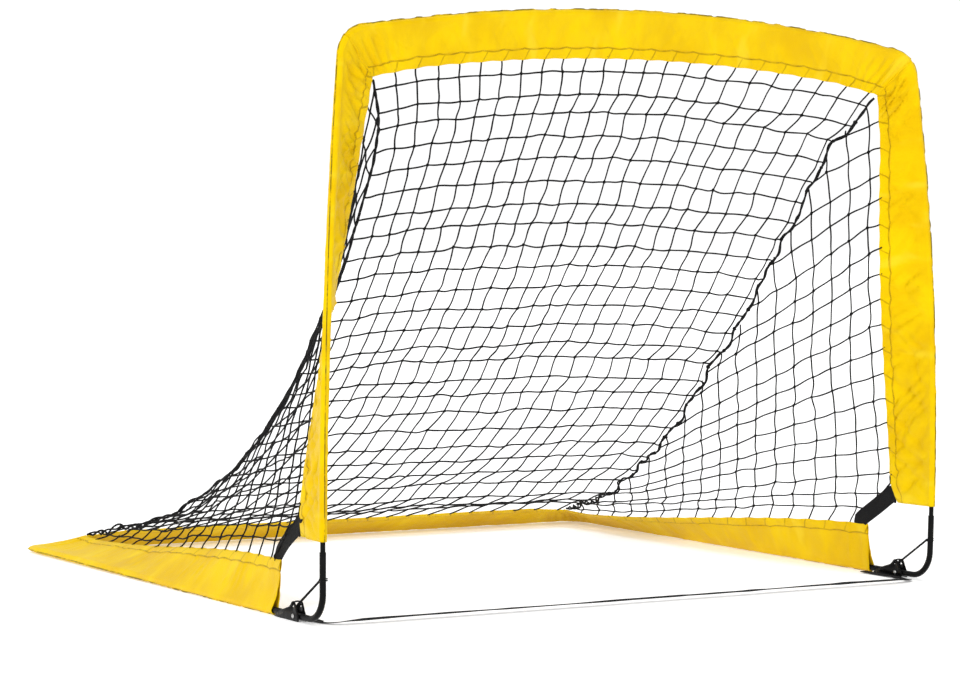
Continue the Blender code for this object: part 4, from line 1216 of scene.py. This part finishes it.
def make_ground_strap(material):
    half = np.array(
        [
            (-0.5865, 0.0560, 0.0010),
            (-0.5850, 0.0400, 0.0016),
            (-0.5740, 0.0180, 0.0040),
            (-0.5450, 0.0100, 0.0064),
            (-0.4800, 0.0080, 0.0074),
            (-0.3600, 0.0080, 0.0076),
            (-0.1800, 0.0070, 0.0074),
            (0.0000, 0.0080, 0.0074),
        ]
    ) + (0.0, FRONT_Y, 0.0)
    route = np.vstack([half, mirrored(half[:-1])[::-1]])
    path = smooth_through(route, 240)
    s = lengths(path)
    ends = clipped(np.minimum(s, s[-1] - s) / 0.06 - 0.4)
    tilt = ends * (0.34 + 0.14 * noise(s / 0.11, 0.0, 91) + 0.08 * noise(s / 0.04, 0.0, 92))
    path[:, 2] = np.maximum(path[:, 2] - 0.0008, 0.0012 + STRAP_WIDTH / 2 * np.sin(tilt))
    path[:, 1] += ends * 1.5 * MM * noise(s / 0.16, 0.0, 93)
    flat = unit(np.cross(unit(np.gradient(path, axis=0)), UP))
    across = flat * np.cos(tilt)[:, None] + UP * np.sin(tilt)[:, None]
    shape = Shape()
    add_ribbon(shape, path, across, STRAP_WIDTH, 1.2 * MM, 0.3 * MM, 8)
    obj = shape.piece("ground_webbing", material)
    stands_for(obj, "ground_strap", "base")


def stay_share(r):
    """How much of the fold a stay's point follows, so that the cord stays straight."""
    reach, angle = polar(np.stack([STAY_END, STAY_START]))
    turned = np.radians(angle - (0.0, FOLD_DEGREES))
    t = np.linspace(0.0, 1.0, 200)[:, None]
    before = polar(STAY_END + (STAY_START - STAY_END) * t)
    eyelet, wrap = (d * np.array((0.0, math.cos(a), math.sin(a))) for d, a in zip(reach, turned))
    after = polar(PIVOT + eyelet + (wrap - eyelet) * t)
    return clipped((np.interp(r, *before) - np.interp(r, *after)) / FOLD_DEGREES)


STAY_START = place(-FOOT_HALF, TUBE_RADIUS + 1.4 * MM, STAY_HEIGHT)
STAY_END = place(-FOOT_HALF, PIVOT_BACK - 1.0 * MM, EYELET_HEIGHT + 1.0 * MM)


def make_stay(side, material):
    """A cord from the bracket's eyelet to a few turns round the elbow."""
    line = STAY_START + (STAY_END - STAY_START) * np.linspace(0.0, 1.0, 40)[:, None]
    shape = Shape()
    add_tube(shape, sided(line, side), STAY_RADIUS, 12)
    turns = np.linspace(0.0, 2 * math.pi * 1.75, 60)
    rise = (turns / 2 / math.pi - 0.8) * 2.9 * MM
    wrap = np.stack([np.sin(turns) * 6.3 * MM, np.cos(turns) * 6.3 * MM, rise], axis=1)
    wrap = place(-FOOT_HALF, 0.0, STAY_HEIGHT) + wrap
    add_tube(shape, sided(wrap, side), 1.0 * MM, 10)
    turns = np.linspace(-0.6, 2 * math.pi - 0.9, 48)
    loop = [np.sin(turns) * 9.0 * MM, np.sin(turns) * 0.4 * MM, -np.cos(turns) * 3.6 * MM]
    loop = place(-FOOT_HALF, PIVOT_BACK, EYELET_HEIGHT + 3.4 * MM) + np.stack(loop, axis=1)
    add_tube(shape, sided(loop, side), 1.3 * MM, 10)
    obj = shape.piece(f"foot_stay_{side}", material)
    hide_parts(f"stay_cord_{side}")
    return obj


def make_foot_tab(side, material):
    x = -FOOT_HALF + TUBE_RADIUS + 1.4 * MM + 0.013
    shifts = (0.002, 0.0, -0.001, 0.0, 0.0)
    backs = (0.052, 0.070, 0.090, 0.125, 0.155)
    heights = (0.0012, 0.0019, 0.0013, 0.0015, 0.0024)
    path = smooth_through([place(x + dx, y, z) for dx, y, z in zip(shifts, backs, heights)], 50)
    across = np.broadcast_to((1.0, 0.0, 0.0), path.shape).copy()
    s = lengths(path)
    across[:, 2] = 0.05 * noise(s / 0.02, 0.0, 95)
    shape = Shape()
    add_ribbon(shape, sided(path, side), sided(across, side), 0.020, 1.5 * MM, 0.3 * MM, 10)
    obj = shape.piece(f"foot_webbing_{side}", material)
    stands_for(obj, f"foot_tab_{side}", "base")


def add_ear(shape, x, thickness, outline, hole):
    """A flat plate in the YZ plane with a round hole and softened edges."""
    bore = hole[2]
    offsets = outline - hole[:2]
    angles = np.arctan2(offsets[:, 1], offsets[:, 0])
    order = np.argsort(angles)
    count = 72
    a = np.linspace(-math.pi, math.pi, count, endpoint=False)
    edge = np.linalg.norm(offsets, axis=1)[order]
    reach = np.interp(a, angles[order], edge, period=2 * math.pi)
    soft = 0.3 * MM
    half = thickness / 2
    face = [(reach, half - soft), (reach - soft, half), (reach * 0.5 + bore * 0.5, half)]
    face += [(bore + soft + 0 * a, half), (bore + 0 * a, half - soft)]
    back = [(radius, -shift) for radius, shift in face[::-1]]
    points = []
    for radius, shift in back[-1:] + face + back[:-1]:
        y, z = hole[0] + radius * np.cos(a), hole[1] + radius * np.sin(a)
        points.append(np.stack([np.full(count, x + shift), y, z], axis=1))
    quads = wrapped(grid_quads(len(points) + 1, count, True), len(points) * count)
    shape.add(np.array(points), quads, run=np.zeros((quads.size, 2)))


def plate_outline():
    """Points round a hinge plate's edge, seen from the side."""
    turn = np.linspace(2.75, 0.42, 16)
    nose = 8.6 * MM
    y, z = PIVOT_BACK + nose * np.cos(turn), EYELET_HEIGHT - 1 * MM + nose * np.sin(turn)
    front = [[0.0665, 0.0], [0.0655, 0.007], [0.0705, 0.0145]]
    rear = [[0.1035, 0.0165], [0.116, 0.0125], [0.135, 0.0105], [0.1455, 0.0085], [0.1465, 0.0]]
    corners = np.vstack([front, np.stack([y, z], axis=1), rear])
    share = np.linspace(0.0, 1.0, 24, endpoint=False)[:, None]
    edges = [a + (b - a) * share for a, b in zip(corners, np.roll(corners, -1, axis=0))]
    return np.vstack(edges) + np.array((FRONT_Y, 0.0))


EAR_NEAR = 6.0 * MM  # from the elbow's middle to an ear
EAR = 1.4 * MM


def make_foot(side, coat, zinc):
    """The bracket's two ears and foot plate, the base socket, the elbow and the rivet."""
    x = -FOOT_HALF if side == "left" else FOOT_HALF
    hole = (FRONT_Y + PIVOT_BACK, EYELET_HEIGHT, 2.6 * MM)
    shape = Shape()
    for sign in (-1, 1):
        add_ear(shape, x + sign * (EAR_NEAR + EAR / 2), EAR, plate_outline(), hole)
    plate = np.array([place(x, back, 0.0007) for back in np.linspace(0.0985, 0.146, 12)])
    across = np.broadcast_to((1.0, 0.0, 0.0), plate.shape)
    add_ribbon(shape, plate, across, 2 * EAR_NEAR + 1 * MM, 1.35 * MM)
    stands_for(shape.piece(f"hinge_plates_{side}", coat), f"hinge_bracket_{side}", "base")

    # name, node, body, centre line, its length and its points
    tubes = (
        ("socket_tube", "base_socket", "base", base_path()[0], SOCKET_LENGTH, 12),
        ("elbow_tube", "foot_elbow", "arch", arch_path()[0], run_to(ELBOW_MOUTH), 60),
    )
    for name, node, body, line, end, count in tubes:
        shape = Shape()
        run = sided(at(line, np.linspace(0.0, end, count)), side)
        add_pipe(shape, run, TUBE_RADIUS, TUBE_BORE)
        stands_for(shape.piece(f"{name}_{side}", coat), f"{node}_{side}", body)

    outer = EAR_NEAR + EAR + 0.2 * MM
    shift = np.array((-1.5, -1.45, -1.1, -0.5, 0.0, 0.0)) * MM - outer
    radius = np.array((0.6, 1.6, 2.9, 3.6, 3.8, 1.8)) * MM
    shift = np.concatenate([shift, -shift[::-1]])
    radius = np.concatenate([radius, radius[::-1]])
    line = PIVOT + np.outer(x + shift, (1.0, 0.0, 0.0))
    shape = Shape()
    add_tube(shape, line, radius, 28, [np.broadcast_to(v, line.shape) for v in np.eye(3)])
    stands_for(shape.piece(f"rivet_{side}", zinc), f"pivot_rivet_{side}", "base")


# ---------------------------------------------------------------- the goal


def make_sleeves(cloth, thread):
    edge = side_edge_line()
    post_cells = lengths(POST_EDGE) / (lengths(edge)[-1] / SIDE_ROWS)
    from_front = lengths(SIDE_EDGE)[-1] - lengths(SIDE_EDGE)
    side_cells = (from_front + side_lead(SIDE_ROWS) - 0.024) / side_pitch(1.0) + SIDE_START
    order = np.arange(COLUMNS + 1)
    bar_cells = np.interp(lengths(BAR_EDGE) / lengths(BAR_EDGE)[-1], column_shares(), order)
    back_cells = np.interp(lengths(BACK_EDGE) / lengths(BACK_EDGE)[-1], column_shares(), order)
    # name, centres, hems, cells, seed, (billow, crease, fine, upright) in millimetres
    plans = [
        ("crossbar_band", BAR, BAR_EDGE, bar_cells, 100, (2.2, 1.6, 0.14, 0.4)),
        ("back_band", BACK, BACK_EDGE, back_cells, 200, (2.0, 0.9, 0.14, 0.8)),
    ]
    for side, seed in (("left", 300), ("right", 500)):
        post = (sided(POST, side), sided(POST_EDGE, side), post_cells)
        flank = (sided(SIDE, side), sided(SIDE_EDGE, side), side_cells)
        plans.append((f"post_band_{side}", *post, seed, (2.6, 7.0, 0.28, 0.3)))
        plans.append((f"side_band_{side}", *flank, seed + 100, (2.4, 0.8, 0.14, 2.2)))
    for name, centres, hems, cells, seed, style in plans:
        node = name.replace("band", "sleeve")
        style = tuple(value * MM for value in style)
        obj, stitches, flat = add_sleeve(name, centres, hems, cells, seed, style, cloth, thread)
        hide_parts(node)
        body = "arch" if name == "crossbar_band" else "base"
        if two_mitres(name):
            past = pointed(centres, name)[0]
            for side in SIDES:
                lines = [sided(line, side) for line in (centres[:2], hems[:2], past)]
                fold = make_mitre(f"{name}_mitre_{side}", *lines, cloth)
                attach(fold, body)
        for piece in (obj, stitches):
            points = points_of(piece)
            if name.startswith("post"):
                r, _ = polar(points)
                _, high, folded = fold_limits(r)
                at_hem = (high - folded) / FOLD_DEGREES
                t = band_share(points, centres, hems)
                fold_with(piece, 1 - (1 - at_hem) * t)
            elif name.startswith("side"):
                t = band_share(points, centres, hems)
                fold_with(piece, fold_share(points) * clipped(t * 3))
            else:
                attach(piece, body)


def band_share(points, centres, hems):
    """How far each point is from the rod's line towards the hem, from 0 to 1."""
    tree = KDTree(len(centres))
    for index, (a, b) in enumerate(zip(centres, hems)):
        tree.insert((a + b) / 2, index)
    tree.balance()
    found = np.array([tree.find(p)[1] for p in points])
    a = centres[found]
    way = hems[found] - a
    t = ((points - a) * way).sum(axis=1) / (way * way).sum(axis=1)
    return clipped(t)


def make_rods(look):
    """The short stretch of rod that shows between each elbow and its sleeve."""
    arch, _ = arch_path()
    run = at(arch, np.linspace(run_to(ROD_HEIGHT + BEND_RADIUS), run_to(HIDDEN_BY_BAND), 60))
    for side in SIDES:
        shape = Shape()
        add_tube(shape, sided(run, side), ROD_RADIUS, 24)
        stands_for(shape.piece(f"lower_rod_{side}", look), f"post_rod_lower_{side}", "arch")


def make_camera():
    """The photo's camera, as it was fitted to measured points of the frame."""
    yaw, pitch, roll = 0.55577, -0.04281, 0.0096
    focal = 2954.8  # in pixels, for a photo 960 pixels wide
    level = math.cos(pitch)
    ahead = np.array((math.sin(yaw) * level, math.cos(yaw) * level, math.sin(pitch)))
    right = np.array((math.cos(yaw), -math.sin(yaw), 0.0))
    up = np.cross(right, ahead)
    rolled_right = math.cos(roll) * right + math.sin(roll) * up
    rolled_up = math.cos(roll) * up - math.sin(roll) * right
    spot = place(-2.79115, -3.96838, 0.6441)
    data = bpy.data.cameras.new("camera")
    data.sensor_width = 36.0
    data.lens = focal / 960 * data.sensor_width
    data.clip_end = 60.0
    camera = bpy.data.objects.new("camera", data)
    axes = np.stack([rolled_right, rolled_up, -ahead, spot], axis=1).tolist()
    camera.matrix_world = Matrix([*axes, [0.0, 0.0, 0.0, 1.0]])
    bpy.context.scene.collection.objects.link(camera)
    bpy.context.scene.camera = camera


def add_sun(name, strength, spread, where):
    data = bpy.data.lights.new(name, "SUN")
    data.energy = strength
    data.angle = math.radians(spread)
    light = bpy.data.objects.new(name, data)
    light.rotation_euler = Vector(where).to_track_quat("Z", "Y").to_euler()
    bpy.context.scene.collection.objects.link(light)


def make_studio(floor_material):
    shape = Shape()
    size = 30.0
    x = np.linspace(-size, size, 9)
    grid = np.stack(np.meshgrid(x, x, indexing="xy") + [np.full((9, 9), -0.2 * MM)], axis=-1)
    shape.add(grid, grid_quads(9, 9, False))
    floor = shape.piece("floor", floor_material)
    world = bpy.data.worlds.new("studio")
    world.use_nodes = True
    tree = world.node_tree
    where = tree.nodes.new("ShaderNodeTexCoord")
    split = tree.nodes.new("ShaderNodeSeparateXYZ")
    fall = tree.nodes.new("ShaderNodeMapRange")
    for index, value in enumerate((0.10, 0.45, 1.06, 0.66), start=1):
        fall.inputs[index].default_value = value
    back = tree.nodes["Background"]
    back.inputs["Color"].default_value = (1.0, 1.0, 1.0, 1.0)
    tree.links.new(where.outputs["Generated"], split.inputs[0])
    tree.links.new(split.outputs[2], fall.inputs["Value"])
    tree.links.new(fall.outputs[0], back.inputs["Strength"])
    bpy.context.scene.world = world
    add_sun("over", 1.0, 45.0, (0.15, 0.5, 1.0))
    add_sun("key", 1.22, 9.0, (-0.80, -0.55, 0.55))
    add_sun("front", 0.30, 30.0, (-0.10, -0.97, 0.10))
    bpy.context.scene.view_settings.view_transform = "Standard"


def main():
    make_camera()
    webbing = webbing_look()
    make_ground_strap(webbing)
    cloth = sleeve_look()
    twine = twine_look("net_twine", 160.0, TWINE)
    lacing = twine_look("lacing_cord", 110.0, 1.7 * MM)
    stay = twine_look("stay_cord_weave", 300.0, STAY_RADIUS)
    coat = coat_look("black_coat", 0.22, 0.42)
    fibre = coat_look("fibre_rod_surface", 0.35, 0.55)
    zinc = zinc_look()
    make_sleeves(cloth, thread_look())
    nets = [make_back_net(twine)]
    for side in SIDES:
        nets.append(make_side_net(side, twine))
        nets.append(make_lacing(side, lacing))
        nets.append(make_corner_strap(side, webbing))
        stay_piece = make_stay(side, stay)
        r, _ = polar(points_of(stay_piece))
        fold_with(stay_piece, stay_share(r))
        make_foot_tab(side, webbing)
        make_foot(side, coat, zinc)
    for net in nets:
        fold_with(net, fold_share(points_of(net)))
    make_rods(fibre)
    for name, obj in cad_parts.items():
        if "rod" in name and "lower" not in name:
            obj.data.materials[0] = fibre
        elif "ferrule" in name or "elbow" in name:
            obj.data.materials[0] = coat
    make_studio(floor_look())


main()
